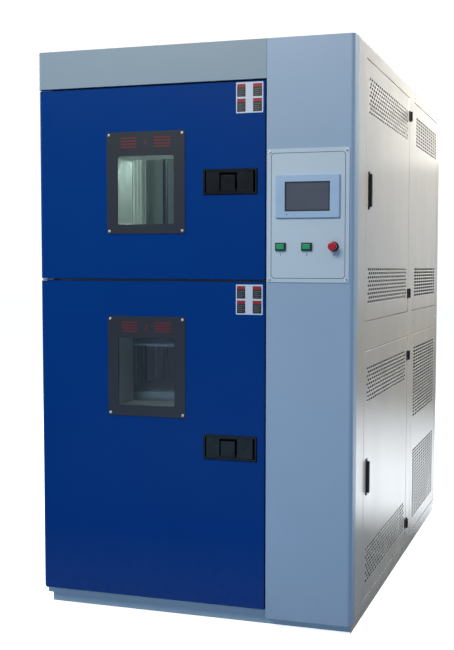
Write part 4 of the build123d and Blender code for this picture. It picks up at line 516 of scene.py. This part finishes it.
def tiled_faces(tiles, rows, columns, wrap=False):
    """The faces of many equal grids that follow one another in the point list."""
    one = grid_faces(rows, columns, wrap)
    starts = np.arange(tiles)[:, None, None] * (rows * columns)
    return (one[None] + starts).reshape(-1, 4)


def stack(parts):
    """Several (points, faces) pairs as one pair."""
    counts = np.cumsum([0] + [len(points) for points, _ in parts[:-1]])
    points = np.concatenate([points for points, _ in parts])
    return points, np.concatenate([faces + start for (_, faces), start in zip(parts, counts)])


def make_piece(name, points, faces, body, slot, smooth=True, material=None):
    """Writes points and faces into a mesh, joins points that coincide, turns the
    faces outwards, and lets the piece ride on a body."""
    mesh = bpy.data.meshes.new(name)
    mesh.vertices.add(len(points))
    mesh.vertices.foreach_set("co", np.asarray(points, np.float32).ravel())
    mesh.loops.add(faces.size)
    mesh.loops.foreach_set("vertex_index", faces.astype(np.int32).ravel())
    mesh.polygons.add(len(faces))
    mesh.polygons.foreach_set("loop_start", np.arange(len(faces), dtype=np.int32) * faces.shape[1])
    mesh.update(calc_edges=True)
    work = bmesh.new()
    work.from_mesh(mesh)
    bmesh.ops.remove_doubles(work, verts=work.verts, dist=0.002 * MM)
    bmesh.ops.recalc_face_normals(work, faces=work.faces)
    work.to_mesh(mesh)
    work.free()
    mesh.polygons.foreach_set("use_smooth", np.full(len(mesh.polygons), smooth))
    mesh.materials.append(material or FINISHES[slot])
    piece = bpy.data.objects.new(name, mesh)
    bpy.context.scene.collection.objects.link(piece)
    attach(piece, body)
    print(name, "faces", len(mesh.polygons))
    return piece


# %% [markdown]
# The service doors are folded trays of thin sheet. Their vents are fields of
# obround slots, punched in a press that also draws the slot's rim in a little, so
# each slot has a soft lip that catches light. One slot is a small tile: a ring of
# points around the slot and a ring on the tile's edge, with the lip between them.
# Tiles side by side give the field, and every second row is moved by half a tile.

# %% Vent slots
LIP = 0.6
SHEET = 0.9
HALF_END = 6


def slot_ring(half_length, half_height, grow):
    """An obround: half circles of radius half_height + grow about the slot's two
    end centres, each with HALF_END + 1 points, and the middle points between."""
    reach = half_length - half_height
    turn = np.linspace(-np.pi / 2, np.pi / 2, HALF_END + 1)
    radius = half_height + grow
    right = np.stack((reach + radius * np.cos(turn), radius * np.sin(turn)), -1)
    left = -right
    return np.concatenate((right, [[0.0, radius]], left, [[0.0, -radius]]))


def tile_ring(half_width, half_height):
    """The tile's edge with as many points as slot_ring: the ends' points run up
    one side and down the other, and the middle points lie above and below."""
    rise = np.linspace(-half_height, half_height, HALF_END + 1)
    right = np.stack((np.full(HALF_END + 1, half_width), rise), -1)
    return np.concatenate((right, [[0.0, half_height]], -right, [[0.0, -half_height]]))


def slot_tile(pitch, row_pitch, length, height):
    """(u, v, depth) of one tile as rings x points: tile edge, lip's outer line, two
    points down its quarter round, and the slot wall to the sheet's back."""
    half_length = length / 2
    half_height = height / 2
    rings = [(tile_ring(pitch / 2, row_pitch / 2), 0.0)]
    for angle in (0.0, np.pi / 4, np.pi / 2):
        rings.append((slot_ring(half_length, half_height, LIP * (1 - math.sin(angle))),
                      LIP * (1 - math.cos(angle))))
    rings.append((slot_ring(half_length, half_height, 0.0), SHEET))
    return np.stack([np.column_stack((ring, np.full(len(ring), depth))) for ring, depth in rings])


def vent_field(centre_u, centre_v, columns, rows, pitch, row_pitch, length, height, stagger):
    """Tiles of one vent: row r lies at centre_v + (r - (rows - 1)/2) row_pitch, and
    is moved by a quarter pitch to the left or right in turn where stagger is 1."""
    tile = slot_tile(pitch, row_pitch, length, height)
    r = np.arange(rows)
    c = np.arange(columns)
    shift = stagger * np.where(r % 2, 0.25, -0.25) * pitch
    u = centre_u + (c[None, :] - (columns - 1) / 2) * pitch + shift[:, None]
    v = np.broadcast_to((centre_v + (r - (rows - 1) / 2) * row_pitch)[:, None], u.shape)
    moves = np.stack((u.ravel(), v.ravel(), np.zeros(u.size)), -1)
    points = (tile[None] + moves[:, None, None, :]).reshape(-1, 3)
    faces = tiled_faces(len(moves), tile.shape[0], tile.shape[1], wrap=True)
    quarter = stagger * pitch / 4
    half = columns * pitch / 2
    ends = []
    if stagger:
        low = v[:, 0] - row_pitch / 2
        high = v[:, 0] + row_pitch / 2
        side = np.where(r % 2, -1.0, 1.0)
        outer = centre_u + side * (half + quarter)
        inner = centre_u + side * (half - quarter)
        turns = ((inner, low), (outer, low), (outer, high), (inner, high))
        quads = np.stack([np.stack((a, b, np.zeros(rows)), -1) for a, b in turns], 1)
        ends = [(quads.reshape(-1, 3), np.arange(rows * 4).reshape(-1, 4))]
    box = (centre_u - half - quarter, centre_u + half + quarter,
           centre_v - rows * row_pitch / 2, centre_v + rows * row_pitch / 2)
    return stack([(points, faces)] + ends), box


# %% [markdown]
# Around its vents the tray is flat, and its rim is folded back with a small
# radius. The flat part is a grid whose lines pass through the edges of the vents,
# less the cells where the vents are. The fold is a profile swept round the rim.

# %% Folded trays
FOLD = 3.0
FLANGE = 12.0
TRAY_STEPS = 5


def rounded_loop(u0, u1, v0, v1, radius):
    """A rectangle with quarter circles of TRAY_STEPS + 1 points at its corners."""
    quarter = np.linspace(0.0, np.pi / 2, TRAY_STEPS + 1)[None, :]
    angles = quarter + np.arange(4)[:, None] * np.pi / 2
    centres = np.array([(u1 - radius, v1 - radius), (u0 + radius, v1 - radius),
                        (u0 + radius, v0 + radius), (u1 - radius, v0 + radius)])
    arc = np.stack((np.cos(angles), np.sin(angles)), -1) * radius
    return (centres[:, None, :] + arc).reshape(-1, 2)


def flat_around(u_lines, v_lines, boxes):
    """Cells between the given lines, without those whose middle lies in a box."""
    u, v = np.meshgrid(u_lines, v_lines)
    points = np.stack((u, v, np.zeros_like(u)), -1).reshape(-1, 3)
    faces = grid_faces(len(v_lines), len(u_lines))
    middle = points[faces].mean(1)
    keep = np.ones(len(faces), bool)
    for a0, a1, b0, b1 in boxes:
        inside_u = (middle[:, 0] > a0) & (middle[:, 0] < a1)
        keep &= ~(inside_u & (middle[:, 1] > b0) & (middle[:, 1] < b1))
    return points, faces[keep]


def tray_rim(u0, u1, v0, v1, depth):
    """Loops round the rim: a quarter round of radius FOLD, then straight back by
    depth, then inwards by FLANGE as the return flange."""
    loops = []
    for angle in np.linspace(0.0, np.pi / 2, 4):
        inset = FOLD * (1 - math.sin(angle))
        loops.append((inset, FOLD * (1 - math.cos(angle)), FOLD - inset))
    loops += [(0.0, depth, FOLD), (FLANGE, depth, FOLD)]
    rings = [np.column_stack((rounded_loop(u0 + i, u1 - i, v0 + i, v1 - i, max(radius, 0.0)),
                              np.full(4 * (TRAY_STEPS + 1), back))) for i, back, radius in loops]
    count = len(rings[0])
    return np.concatenate(rings), grid_faces(len(rings), count, wrap=True)


def tray(u0, u1, v0, v1, depth, vents):
    """A folded tray with its vents, in (u, v, depth) millimetres."""
    parts = [points_faces for points_faces, _ in vents]
    boxes = [box for _, box in vents]
    u_lines = sorted({u0 + FOLD, u1 - FOLD, *[b for box in boxes for b in box[:2]]})
    v_lines = sorted({v0 + FOLD, v1 - FOLD, *[b for box in boxes for b in box[2:]]})
    return stack([tray_rim(u0, u1, v0, v1, depth), flat_around(u_lines, v_lines, boxes)] + parts)


def on_right_side(points):
    """(u, v, depth) becomes y = u, z = v and x = the side's face less the depth."""
    return cabinet(CABINET_WIDTH - points[:, 2], points[:, 0], points[:, 1])


DOOR_SLOT = {"pitch": 33.0, "row_pitch": 13.5, "length": 22.0, "height": 8.0, "stagger": 1}
LONG_SLOT = {"pitch": 57.0, "row_pitch": 13.5, "length": 47.0, "height": 8.0, "stagger": 0}
VENT_COLUMNS = 22
VENT_ROWS = 9
LONG_COLUMNS = 10
TALL_ROWS = 22
VENTS = {"upper": (1743.0, 1120.0), "lower": (790.0, 174.0)}
REAR_LOW_VENTS = ((701.0, TALL_ROWS), (265.0, TALL_ROWS))
REAR_HIGH_VENTS = ((1743.0, VENT_ROWS), (1120.0, VENT_ROWS))
TRAY_DEPTH = 16.0
for which, levels in VENTS.items():
    _, _, y0, y1, z0, z1 = extent(which + "_service_door")
    fields = [vent_field((y0 + y1) / 2, level, VENT_COLUMNS, VENT_ROWS, **DOOR_SLOT)
              for level in levels]
    points, faces = tray(y0, y1, z0, z1, TRAY_DEPTH, fields)
    piece = make_piece(which + "_service_tray", on_right_side(points), faces,
                       which + "_service_door", "side_paint")
    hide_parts(which + "_service_door")

# %% [markdown]
# Behind them the rear bay has two fixed panels of the same make, with longer slots.
# Their seams to the frame are two millimetres wide.

# %% Rear bay panels
SEAM = 2.0
_, _, y0, y1, z0, z1 = extent("rear_bay_panels")
band = extent("upper_service_door")[4] - SEAM - (extent("lower_service_door")[5] + SEAM)
split_low = extent("lower_service_door")[5] + SEAM
rear_spans = ((z0, split_low, REAR_LOW_VENTS), (split_low + band, z1, REAR_HIGH_VENTS))
rear_parts = []
for low, high, vents in rear_spans:
    fields = [vent_field((y0 + y1) / 2, level, LONG_COLUMNS, rows, **LONG_SLOT)
              for level, rows in vents]
    rear_parts.append(tray(y0 + SEAM, y1 - SEAM, low + SEAM, high - SEAM, TRAY_DEPTH, fields))
points, faces = stack(rear_parts)
piece = make_piece("rear_bay_trays", on_right_side(points), faces, "cabinet", "side_paint")
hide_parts("rear_bay_panels")
print("band between the bays %.0f mm" % band)

# %% [markdown]
# Printed marks are thin films of ink on the plates. A film is a flat shape laid a
# tenth of a millimetre in front of its plate: rectangles, a frame line, and plain
# numerals cut from Blender's own letter shapes.

# %% Inks
INK_LIFT = 0.12
ink_dark = plastic("ink_dark", rgb(28, 32, 40), 0.5, grain=0.0)
ink_red = plastic("ink_red", rgb(150, 22, 34), 0.5, grain=0.0)
ink_red_dim = plastic("ink_red_dim", rgb(98, 18, 32), 0.5, grain=0.0)
ink_pale = plastic("ink_pale", rgb(196, 208, 226), 0.45, grain=0.0)
ink_grey = plastic("ink_grey", rgb(108, 112, 118), 0.5, grain=0.0)


def on_front(points, face_y):
    """(u, v) becomes x = u, z = v on the plane y = face_y."""
    return cabinet(points[:, 0], np.full(len(points), face_y), points[:, 1])


def bars(rectangles):
    """Rectangles (u0, u1, v0, v1) as one set of four-sided faces."""
    r = np.asarray(rectangles, float)
    quads = np.stack([r[:, [0, 2]], r[:, [1, 2]], r[:, [1, 3]], r[:, [0, 3]]], 1)
    return quads.reshape(-1, 2), np.arange(len(r) * 4).reshape(-1, 4)


def cut_corner_frame(u0, u1, v0, v1, cut, width):
    """A frame line whose corners are cut at 45 degrees. Moved inwards by d, the cut
    gets shorter by (2 - sqrt 2) d."""
    loops = []
    for d in (0.0, width):
        c = cut - d * (2 - math.sqrt(2))
        a0, a1, b0, b1 = u0 + d, u1 - d, v0 + d, v1 - d
        loops.append([(a1, b1 - c), (a1 - c, b1), (a0 + c, b1), (a0, b1 - c),
                      (a0, b0 + c), (a0 + c, b0), (a1 - c, b0), (a1, b0 + c)])
    return np.array(loops).reshape(-1, 2), grid_faces(2, 8, wrap=True)


def numeral(name, digits, height, centre_u, centre_v, face_y, body, material):
    """Plain numerals: the letter curve is made a mesh, scaled so that it has the
    wanted height about the wanted centre, and laid on the plate."""
    curve = bpy.data.curves.new(name, "FONT")
    curve.body = digits
    holder = bpy.data.objects.new(name + "_curve", curve)
    bpy.context.scene.collection.objects.link(holder)
    bpy.context.view_layer.update()
    drawn = holder.evaluated_get(bpy.context.evaluated_depsgraph_get())
    mesh = bpy.data.meshes.new_from_object(drawn)
    bpy.data.objects.remove(holder)
    flat = np.zeros(len(mesh.vertices) * 3, np.float32)
    mesh.vertices.foreach_get("co", flat)
    flat = flat.reshape(-1, 3)[:, :2]
    low, high = flat.min(0), flat.max(0)
    scaled = (flat - (low + high) / 2) * (height / (high[1] - low[1])) + (centre_u, centre_v)
    mesh.vertices.foreach_set("co", on_front(scaled, face_y).astype(np.float32).ravel())
    mesh.update()
    mesh.name = name
    mesh.materials.clear()
    mesh.materials.append(material)
    piece = bpy.data.objects.new(name, mesh)
    bpy.context.scene.collection.objects.link(piece)
    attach(piece, body)
    print(name, "faces", len(mesh.polygons))


# %% [markdown]
# The control plate is printed with one thin dark frame line whose corners are cut,
# and plain numerals stand under its three controls.

# %% Print on the control plate
FRAME_INSET = 12.5
FRAME_CUT = 8.0
FRAME_LINE = 1.6
LABEL_DROP = 24.0
LABEL_HEIGHT = 9.0
px0, px1, py0, _, pz0, pz1 = extent("control_plate")
ink_y = py0 - INK_LIFT
points, faces = cut_corner_frame(px0 + FRAME_INSET, px1 - FRAME_INSET, pz0 + FRAME_INSET,
                                 pz1 - FRAME_INSET, FRAME_CUT, FRAME_LINE)
make_piece("control_plate_line", on_front(points, ink_y), faces, "cabinet", "control_paint",
           smooth=False, material=ink_dark)
for digits, control in (("1", "start_button"), ("2", "stop_button"), ("3", "estop_head")):
    x0, x1, _, _, z0, z1 = extent(control)
    numeral("control_label_" + digits, digits, LABEL_HEIGHT, (x0 + x1) / 2,
            (z0 + z1) / 2 - LABEL_DROP, ink_y, "cabinet", ink_dark)

# %% [markdown]
# Each window plate carries a dim red print above its glass. Here it is two blocks
# of plain bars with the zone's number between them, 1 above and 2 below.

# %% Print on the window plates
PLATE_SHEET = 2.0
PLATE_SCREW_REACH = 4.4
PRINT_HEIGHT = 34.0
PRINT_DROP = 35.0
NUMERAL_SHARE = 0.6
BAR_HEIGHT = 4.6
BAR_ROWS = 4
LEFT_BLOCK = (-89.0, -31.0)
RIGHT_BLOCK = (30.0, 90.0)
for digits, which in (("1", "upper"), ("2", "lower")):
    x0, x1, y0, _, z0, z1 = extent(which + "_window_plate")
    plate_y = y0 + PLATE_SCREW_REACH - PLATE_SHEET
    middle_x = (x0 + x1) / 2
    middle_z = z1 - PRINT_DROP
    drops = np.arange(BAR_ROWS) * (PRINT_HEIGHT - BAR_HEIGHT) / (BAR_ROWS - 1)
    tops = middle_z + PRINT_HEIGHT / 2 - drops
    blocks = [(middle_x + a, middle_x + b, top - BAR_HEIGHT, top)
              for a, b in (LEFT_BLOCK, RIGHT_BLOCK) for top in tops]
    points, faces = bars(blocks)
    make_piece(which + "_window_bars", on_front(points, plate_y - INK_LIFT), faces,
               which + "_door", "dark_plate", smooth=False, material=ink_red_dim)
    numeral(which + "_window_numeral", digits, PRINT_HEIGHT * NUMERAL_SHARE, middle_x, middle_z,
            plate_y - INK_LIFT, which + "_door", ink_red_dim)

# %% [markdown]
# Near the top of each door, on the latch side, sits a small pale card with two by
# two dark fields. Each field has a red band at its top. The card is bare of words:
# plain grey lines stand for its print.

# %% Door cards
CARD_WIDTH = 91.0
CARD_HEIGHT = 97.0
CARD_RIGHT = 8.0
CARD_TOPS = {"upper": 3.0, "lower": 8.5}
CARD_CORNER = 2.0
FIELD_COLUMNS = ((3.4, 31.9), (57.0, 87.0))
FIELD_ROWS = ((5.0, 45.5), (51.5, 93.0))
BAND_HEIGHT = 10.5
PRINT_LINES = 4
LINE_PITCH = 6.0
LINE_HEIGHT = 1.4
LINE_INSET = 4.0
LINE_SHORTER = 6.0


def card_layer(which, part, points, faces, lift, material):
    """One printed layer of a door's card, lift ink films in front of the door."""
    make_piece(which + part, on_front(points, door_y0 - lift * INK_LIFT), faces, which + "_door",
               "door_paint", smooth=False, material=material)


for which in ("upper", "lower"):
    _, door_x1, door_y0, _, _, door_z1 = extent(which + "_door_skin")
    u0 = door_x1 - CARD_RIGHT - CARD_WIDTH
    v1 = door_z1 - CARD_TOPS[which]
    cells = [(u0 + a, u0 + b, v1 - d, v1 - c) for a, b in FIELD_COLUMNS for c, d in FIELD_ROWS]
    loop = rounded_loop(u0, u0 + CARD_WIDTH, v1 - CARD_HEIGHT, v1, CARD_CORNER)
    middle = np.array([[u0 + CARD_WIDTH / 2, v1 - CARD_HEIGHT / 2]])
    rings = np.concatenate((np.repeat(middle, len(loop), 0), loop))
    card = on_front(rings, door_y0 - INK_LIFT)
    back = on_front(loop, door_y0)
    points = np.concatenate((card, back))
    make_piece(which + "_door_card", points, grid_faces(3, len(loop), wrap=True), which + "_door",
               "door_paint", smooth=False, material=ink_pale)
    bands = [(a, b, d - BAND_HEIGHT, d) for a, b, _, d in cells]
    lines = [(a + LINE_INSET, b - LINE_INSET - LINE_SHORTER * (line % 2),
              c - LINE_PITCH * (line + 1) - LINE_HEIGHT, c - LINE_PITCH * (line + 1))
             for a, b, c, _ in bands for line in range(PRINT_LINES)]
    card_layer(which, "_card_fields", *bars(cells), 2, ink_dark)
    card_layer(which, "_card_bands", *bars(bands), 3, ink_red)
    card_layer(which, "_card_lines", *bars(lines), 3, ink_grey)

# %% [markdown]
# The window plates and the control plate are held by small pan head screws with a
# cross recess. The head is one surface over a disc: a flat dome, less a
# cross-shaped pit with soft walls.

# %% Cross-recess screws
HEAD_RADIUS = 4.6
HEAD_HEIGHT = 3.2
RECESS_REACH = 2.6
RECESS_HALF_WIDTH = 0.55
RECESS_DEPTH = 1.3
HEAD_RINGS = 14
HEAD_POINTS = 40


def soft_step(value, edge, width):
    """1 well below the edge, 0 well above it, a smooth curve between."""
    t = np.clip((edge + width / 2 - value) / width, 0.0, 1.0)
    return t * t * (3 - 2 * t)


def screw_head(turn):
    """Heights over a disc: a dome H (1 - (r/R)^6), less the recess, which is the
    larger of two crossed bars turned by the given angle."""
    r = np.linspace(0.0, HEAD_RADIUS, HEAD_RINGS)[:, None]
    angle = np.linspace(0.0, 2 * np.pi, HEAD_POINTS, endpoint=False)[None, :]
    u = r * np.cos(angle)
    v = r * np.sin(angle)
    a = np.abs(u * math.cos(turn) + v * math.sin(turn))
    b = np.abs(v * math.cos(turn) - u * math.sin(turn))
    bar_a = soft_step(a, RECESS_REACH, 0.5) * soft_step(b, RECESS_HALF_WIDTH, 0.35)
    bar_b = soft_step(b, RECESS_REACH, 0.5) * soft_step(a, RECESS_HALF_WIDTH, 0.35)
    height = HEAD_HEIGHT * (1 - (r / HEAD_RADIUS) ** 6) - RECESS_DEPTH * np.maximum(bar_a, bar_b)
    return np.stack((u, v, np.maximum(height, 0.0)), -1).reshape(-1, 3)


def plate_screws(name, node, body, face_y, material=None):
    """Four heads at the corners of a plate, each turned a little differently."""
    x0, x1, _, _, z0, z1 = extent(node)
    xs = (x0 + SCREW_INSET, x1 - SCREW_INSET)
    zs = (z0 + SCREW_INSET, z1 - SCREW_INSET)
    parts = []
    for index, (x, z) in enumerate((x, z) for z in zs for x in xs):
        head = screw_head(SCREW_TURN + NEXT_SCREW_TURN * index)
        parts.append((cabinet(x + head[:, 0], face_y - head[:, 2], z + head[:, 1]),
                      grid_faces(HEAD_RINGS, HEAD_POINTS, wrap=True)))
    points, faces = stack(parts)
    make_piece(name, points, faces, body, "nickel", material=material)


SCREW_INSET = 9.0
SCREW_TURN = 0.4
NEXT_SCREW_TURN = 1.1
# The window plates' heads are a near-white steel with little metallic: a painted glint, so they
# show as bright dots where polished heads catch the light.
glint_screw_steel = metal("screw_steel_painted_glint", rgb(246, 248, 250), 0.34, (40.0, 40.0, 40.0), 0.02,
                     metallic=0.3)
for which in ("upper", "lower"):
    plate_screws(which + "_window_screws", which + "_window_plate", which + "_door", -PLATE_SHEET,
                 glint_screw_steel)
plate_screws("control_plate_screws", "control_plate", "cabinet", py0)

# %% [markdown]
# The operator panel's screen lies in a shallow well. Its glass has a black border,
# and a small round status lamp sits below the well at the left.

# %% Operator panel
BORDER = 4.5
CORNER = 0.3
LAMP_RADIUS = 1.6
LAMP_RISE = 0.6
LAMP_INSET = 7.0
LAMP_RINGS = 8
LAMP_POINTS = 24
sx0, sx1, sy0, _, sz0, sz1 = extent("hmi_screen")
outer = rounded_loop(sx0, sx1, sz0, sz1, CORNER)
inner = rounded_loop(sx0 + BORDER, sx1 - BORDER, sz0 + BORDER, sz1 - BORDER, CORNER)
make_piece("screen_border", on_front(np.concatenate((outer, inner)), sy0 - INK_LIFT),
           grid_faces(2, len(outer), wrap=True), "cabinet", "screen", smooth=False,
           material=FINISHES["black_plastic"])
hx0, _, hy0, _, hz0, hz1 = extent("hmi_bezel")
lamp_x = sx0 + LAMP_INSET
lamp_z = (sz0 + hz0) / 2
polar = np.linspace(0.0, np.pi / 2, LAMP_RINGS)[:, None]
around = np.linspace(0.0, 2 * np.pi, LAMP_POINTS, endpoint=False)[None, :]
dome = cabinet(lamp_x + LAMP_RADIUS * np.sin(polar) * np.cos(around),
               hy0 - LAMP_RISE * np.cos(polar) * np.ones_like(around),
               lamp_z + LAMP_RADIUS * np.sin(polar) * np.sin(around)).reshape(-1, 3)
make_piece("status_lamp", dome, grid_faces(LAMP_RINGS, LAMP_POINTS, wrap=True), "cabinet",
           "bezel_plastic", material=FINISHES["black_plastic"])

# %% [markdown]
# Shelf rails stand on both walls of each zone, near the baffle: slim trapezoid
# strips from floor to ceiling, which show as upright streaks through the windows.

# %% Shelf rails


def prism(near, far):
    """A closed solid between two rings of four points."""
    faces = np.concatenate((grid_faces(2, 4, wrap=True), [[0, 1, 2, 3], [4, 5, 6, 7]]))
    return np.concatenate((near, far)), faces


RAIL_PROFILE = np.array(((-8.0, 0.0), (-5.5, 8.0), (5.5, 8.0), (8.0, 0.0)))
RAIL_PLACES = (532.0, 564.0, 596.0)
RAIL_GAP = 0.4
LINER_SHEET = 1.5
ZONE_HEIGHTS = {"hot": 500.0, "cold": 480.0}
for which, zone_height in ZONE_HEIGHTS.items():
    x0, x1, _, _, z0, _ = extent(which + "_liner")
    parts = []
    for wall, inwards in ((x0 + LINER_SHEET + RAIL_GAP, 1.0), (x1 - LINER_SHEET - RAIL_GAP, -1.0)):
        for place in RAIL_PLACES:
            parts.append(prism(*(cabinet(wall + inwards * RAIL_PROFILE[:, 1],
                                         place + RAIL_PROFILE[:, 0], z0 + LINER_SHEET + level)
                                 for level in (RAIL_GAP, zone_height - RAIL_GAP))))
    points, faces = stack(parts)
    make_piece(which + "_shelf_rails", points, faces, "cabinet", "stainless", smooth=False,
               material=OWN_FINISHES["hot_liner"] if which == "hot" else None)

# %% [markdown]
# The base's right side is covered by a skirt in the side panels' paint.

# %% Base skirt
SKIRT_TOP = 34.6
SKIRT_LIFT = 0.3
SKIRT_EDGE = 1.0
_, base_x1, base_y0, base_y1, _, _ = extent("base_frame")
outline, _ = bars([(base_y0 + SKIRT_EDGE, base_y1 - SKIRT_EDGE, SKIRT_EDGE, SKIRT_TOP)])
points, faces = prism(*(cabinet(base_x1 + x, outline[:, 0], outline[:, 1])
                        for x in (0.0, SKIRT_LIFT)))
make_piece("base_skirt", points, faces, "cabinet", "side_paint", smooth=False)

# %% [markdown]
# The ground is white to the camera and takes only the cabinet's shadow. For other
# rays it is a dark blue-grey shop floor with a bright stretch behind the cabinet,
# which the satin side panels mirror as a pale band, as they would near a window.

# %% Floor
FLOOR_REACH = 30.0
SHINE_NEAR = (0.4, 1.0)
SHINE_FAR = (1.9, 5.0)
SHINE = 2.1
CAMERA_GLOW = 0.86
UNDER_X = 0.51
UNDER_Y = 0.84
DARK_FLOOR = (0.05, 0.08, 0.13, 1)
WHITE_FLOOR = (0.9, 0.9, 0.9, 1)
GLOW_COLOUR = (0.95, 1.0, 1.05, 1.0)


def white_ground():
    """Camera rays see a white diffuse floor plus a plain glow. Mirrored rays see a
    glow that rises behind the cabinet's middle and dies away again far behind it.
    The rest see a dark floor, as the camera does through the vents, under the
    cabinet: there both distances from the middle are under UNDER_X and UNDER_Y."""
    material = bpy.data.materials.new("studio_ground")
    material.use_nodes = True
    tree = material.node_tree
    rays = tree.nodes.new("ShaderNodeLightPath")
    camera_sees = maths(tree, "MAXIMUM", rays.outputs["Is Camera Ray"],
                        rays.outputs["Is Transmission Ray"])
    axes = tree.nodes.new("ShaderNodeSeparateXYZ")
    tree.links.new(object_point(tree), axes.inputs[0])
    beside = maths(tree, "GREATER_THAN", maths(tree, "ABSOLUTE", axes.outputs["X"]), UNDER_X)
    before = maths(tree, "GREATER_THAN", maths(tree, "ABSOLUTE", axes.outputs["Y"]), UNDER_Y)
    camera_sees = maths(tree, "MULTIPLY", camera_sees, maths(tree, "MAXIMUM", beside, before))
    shader = tree.nodes["Principled BSDF"]
    shader.inputs["Roughness"].default_value = 0.9
    shader.inputs["Specular IOR Level"].default_value = 0.0
    tree.links.new(mixed(tree, camera_sees, DARK_FLOOR, WHITE_FLOOR), shader.inputs["Base Color"])
    behind = maths(tree, "MULTIPLY", ramp(tree, axes.outputs["Y"], *SHINE_NEAR, 0.0, SHINE),
                   ramp(tree, axes.outputs["Y"], *SHINE_FAR, 1.0, 0.0))
    mirrored = maths(tree, "MULTIPLY", behind, rays.outputs["Is Glossy Ray"])
    glow = tree.nodes.new("ShaderNodeEmission")
    glow.inputs["Color"].default_value = GLOW_COLOUR
    tree.links.new(maths(tree, "MULTIPLY_ADD", camera_sees, CAMERA_GLOW, mirrored),
                   glow.inputs["Strength"])
    add = tree.nodes.new("ShaderNodeAddShader")
    tree.links.new(shader.outputs[0], add.inputs[0])
    tree.links.new(glow.outputs[0], add.inputs[1])
    tree.links.new(add.outputs[0], tree.nodes["Material Output"].inputs["Surface"])
    return material


floor_mesh = bpy.data.meshes.new("floor")
r = FLOOR_REACH
floor_mesh.from_pydata([(-r, -r, 0), (r, -r, 0), (r, r, 0), (-r, r, 0)], [], [(0, 1, 2, 3)])
floor_mesh.materials.append(white_ground())
floor = bpy.data.objects.new("floor", floor_mesh)
bpy.context.scene.collection.objects.link(floor)

# %% [markdown]
# The sky is white to the camera, also through glass, but a dim cool blue as a light
# source and in mirrors. One broad warm lamp hangs high in front, so the doors grade
# from light at the top to dark at the foot. Three more light the right side, the
# left side and the back, and a low blue one lifts the plinth.

# %% Sky and lamps
SKY_LIGHT = 0.32
SKY_WHITE = 1.1
SKY_COLOUR = (0.60, 0.86, 1.32, 1.0)
world = bpy.data.worlds.new("studio_sky")
bpy.context.scene.world = world
world.use_nodes = True
sky = world.node_tree
rays = sky.nodes.new("ShaderNodeLightPath")
through = maths(sky, "MAXIMUM", rays.outputs["Is Camera Ray"],
                rays.outputs["Is Transmission Ray"])
turned = maths(sky, "ADD", rays.outputs["Diffuse Depth"], rays.outputs["Glossy Depth"])
seen = maths(sky, "MULTIPLY", through, maths(sky, "LESS_THAN", turned, 0.5))
background = sky.nodes["Background"]
sky.links.new(ramp(sky, seen, 0.0, 1.0, SKY_LIGHT, SKY_WHITE), background.inputs["Strength"])
sky.links.new(mixed(sky, seen, SKY_COLOUR, (1.0, 1.0, 1.0, 1.0)), background.inputs["Color"])


def area_lamp(name, position, target, size, watts, colour):
    """A rectangular lamp at a place, turned to face a target; both in millimetres."""
    data = bpy.data.lights.new(name, "AREA")
    data.shape = "RECTANGLE"
    data.size, data.size_y = size
    data.energy = watts
    data.color = colour
    lamp = bpy.data.objects.new(name, data)
    bpy.context.scene.collection.objects.link(lamp)
    lamp.visible_camera = False
    spot = Vector(cabinet(*position))
    aim = Vector(cabinet(*target)) - spot
    turned_to_aim = aim.to_track_quat("-Z", "Y").to_matrix().to_4x4()
    lamp.matrix_world = Matrix.Translation(spot) @ turned_to_aim


WARM = (1.0, 0.93, 0.77)
AMBER = (1.0, 0.90, 0.70)
SOFT = (1.0, 0.95, 0.88)
BLUE = (0.55, 0.78, 1.0)
area_lamp("front_lamp", (-150, -2500, 3300), (350, 0, 1250), (2.2, 1.4), 80, WARM)
area_lamp("side_lamp", (2900, 1500, 2900), (1100, 1300, 1500), (1.6, 1.2), 92, AMBER)
area_lamp("left_lamp", (-3000, 500, 2900), (0, 900, 1100), (2.4, 2.0), 120, SOFT)
area_lamp("back_lamp", (300, 5000, 2900), (500, 1800, 1000), (2.4, 2.0), 130, SOFT)
area_lamp("low_lamp", (500, -2200, 150), (500, 0, 80), (3.0, 0.3), 12, BLUE)

# %% [markdown]
# A lit chamber shows through each window. The hot zone's lamp hangs high at the
# right wall and faces the left one, so that wall is bright. The cold zone has only
# a weak lamp low at its left.

# %% Chamber lamps
hot_x0, hot_x1, hot_y, _, hot_z, _ = extent("hot_liner")
cold_x, _, cold_y, _, cold_z, _ = extent("cold_liner")
area_lamp("hot_lamp", (hot_x1 - 40, hot_y + 440, hot_z + 420), (hot_x0, hot_y + 440, hot_z + 380),
          (0.06, 0.12), 1.5, (0.90, 1.0, 0.97))
area_lamp("cold_lamp", (cold_x + 60, cold_y + 50, cold_z + 130),
          (cold_x + 150, cold_y + 250, cold_z), (0.08, 0.05), 0.05, (0.93, 0.98, 1.0))

# %% View settings
bpy.context.scene.view_settings.view_transform = "Standard"
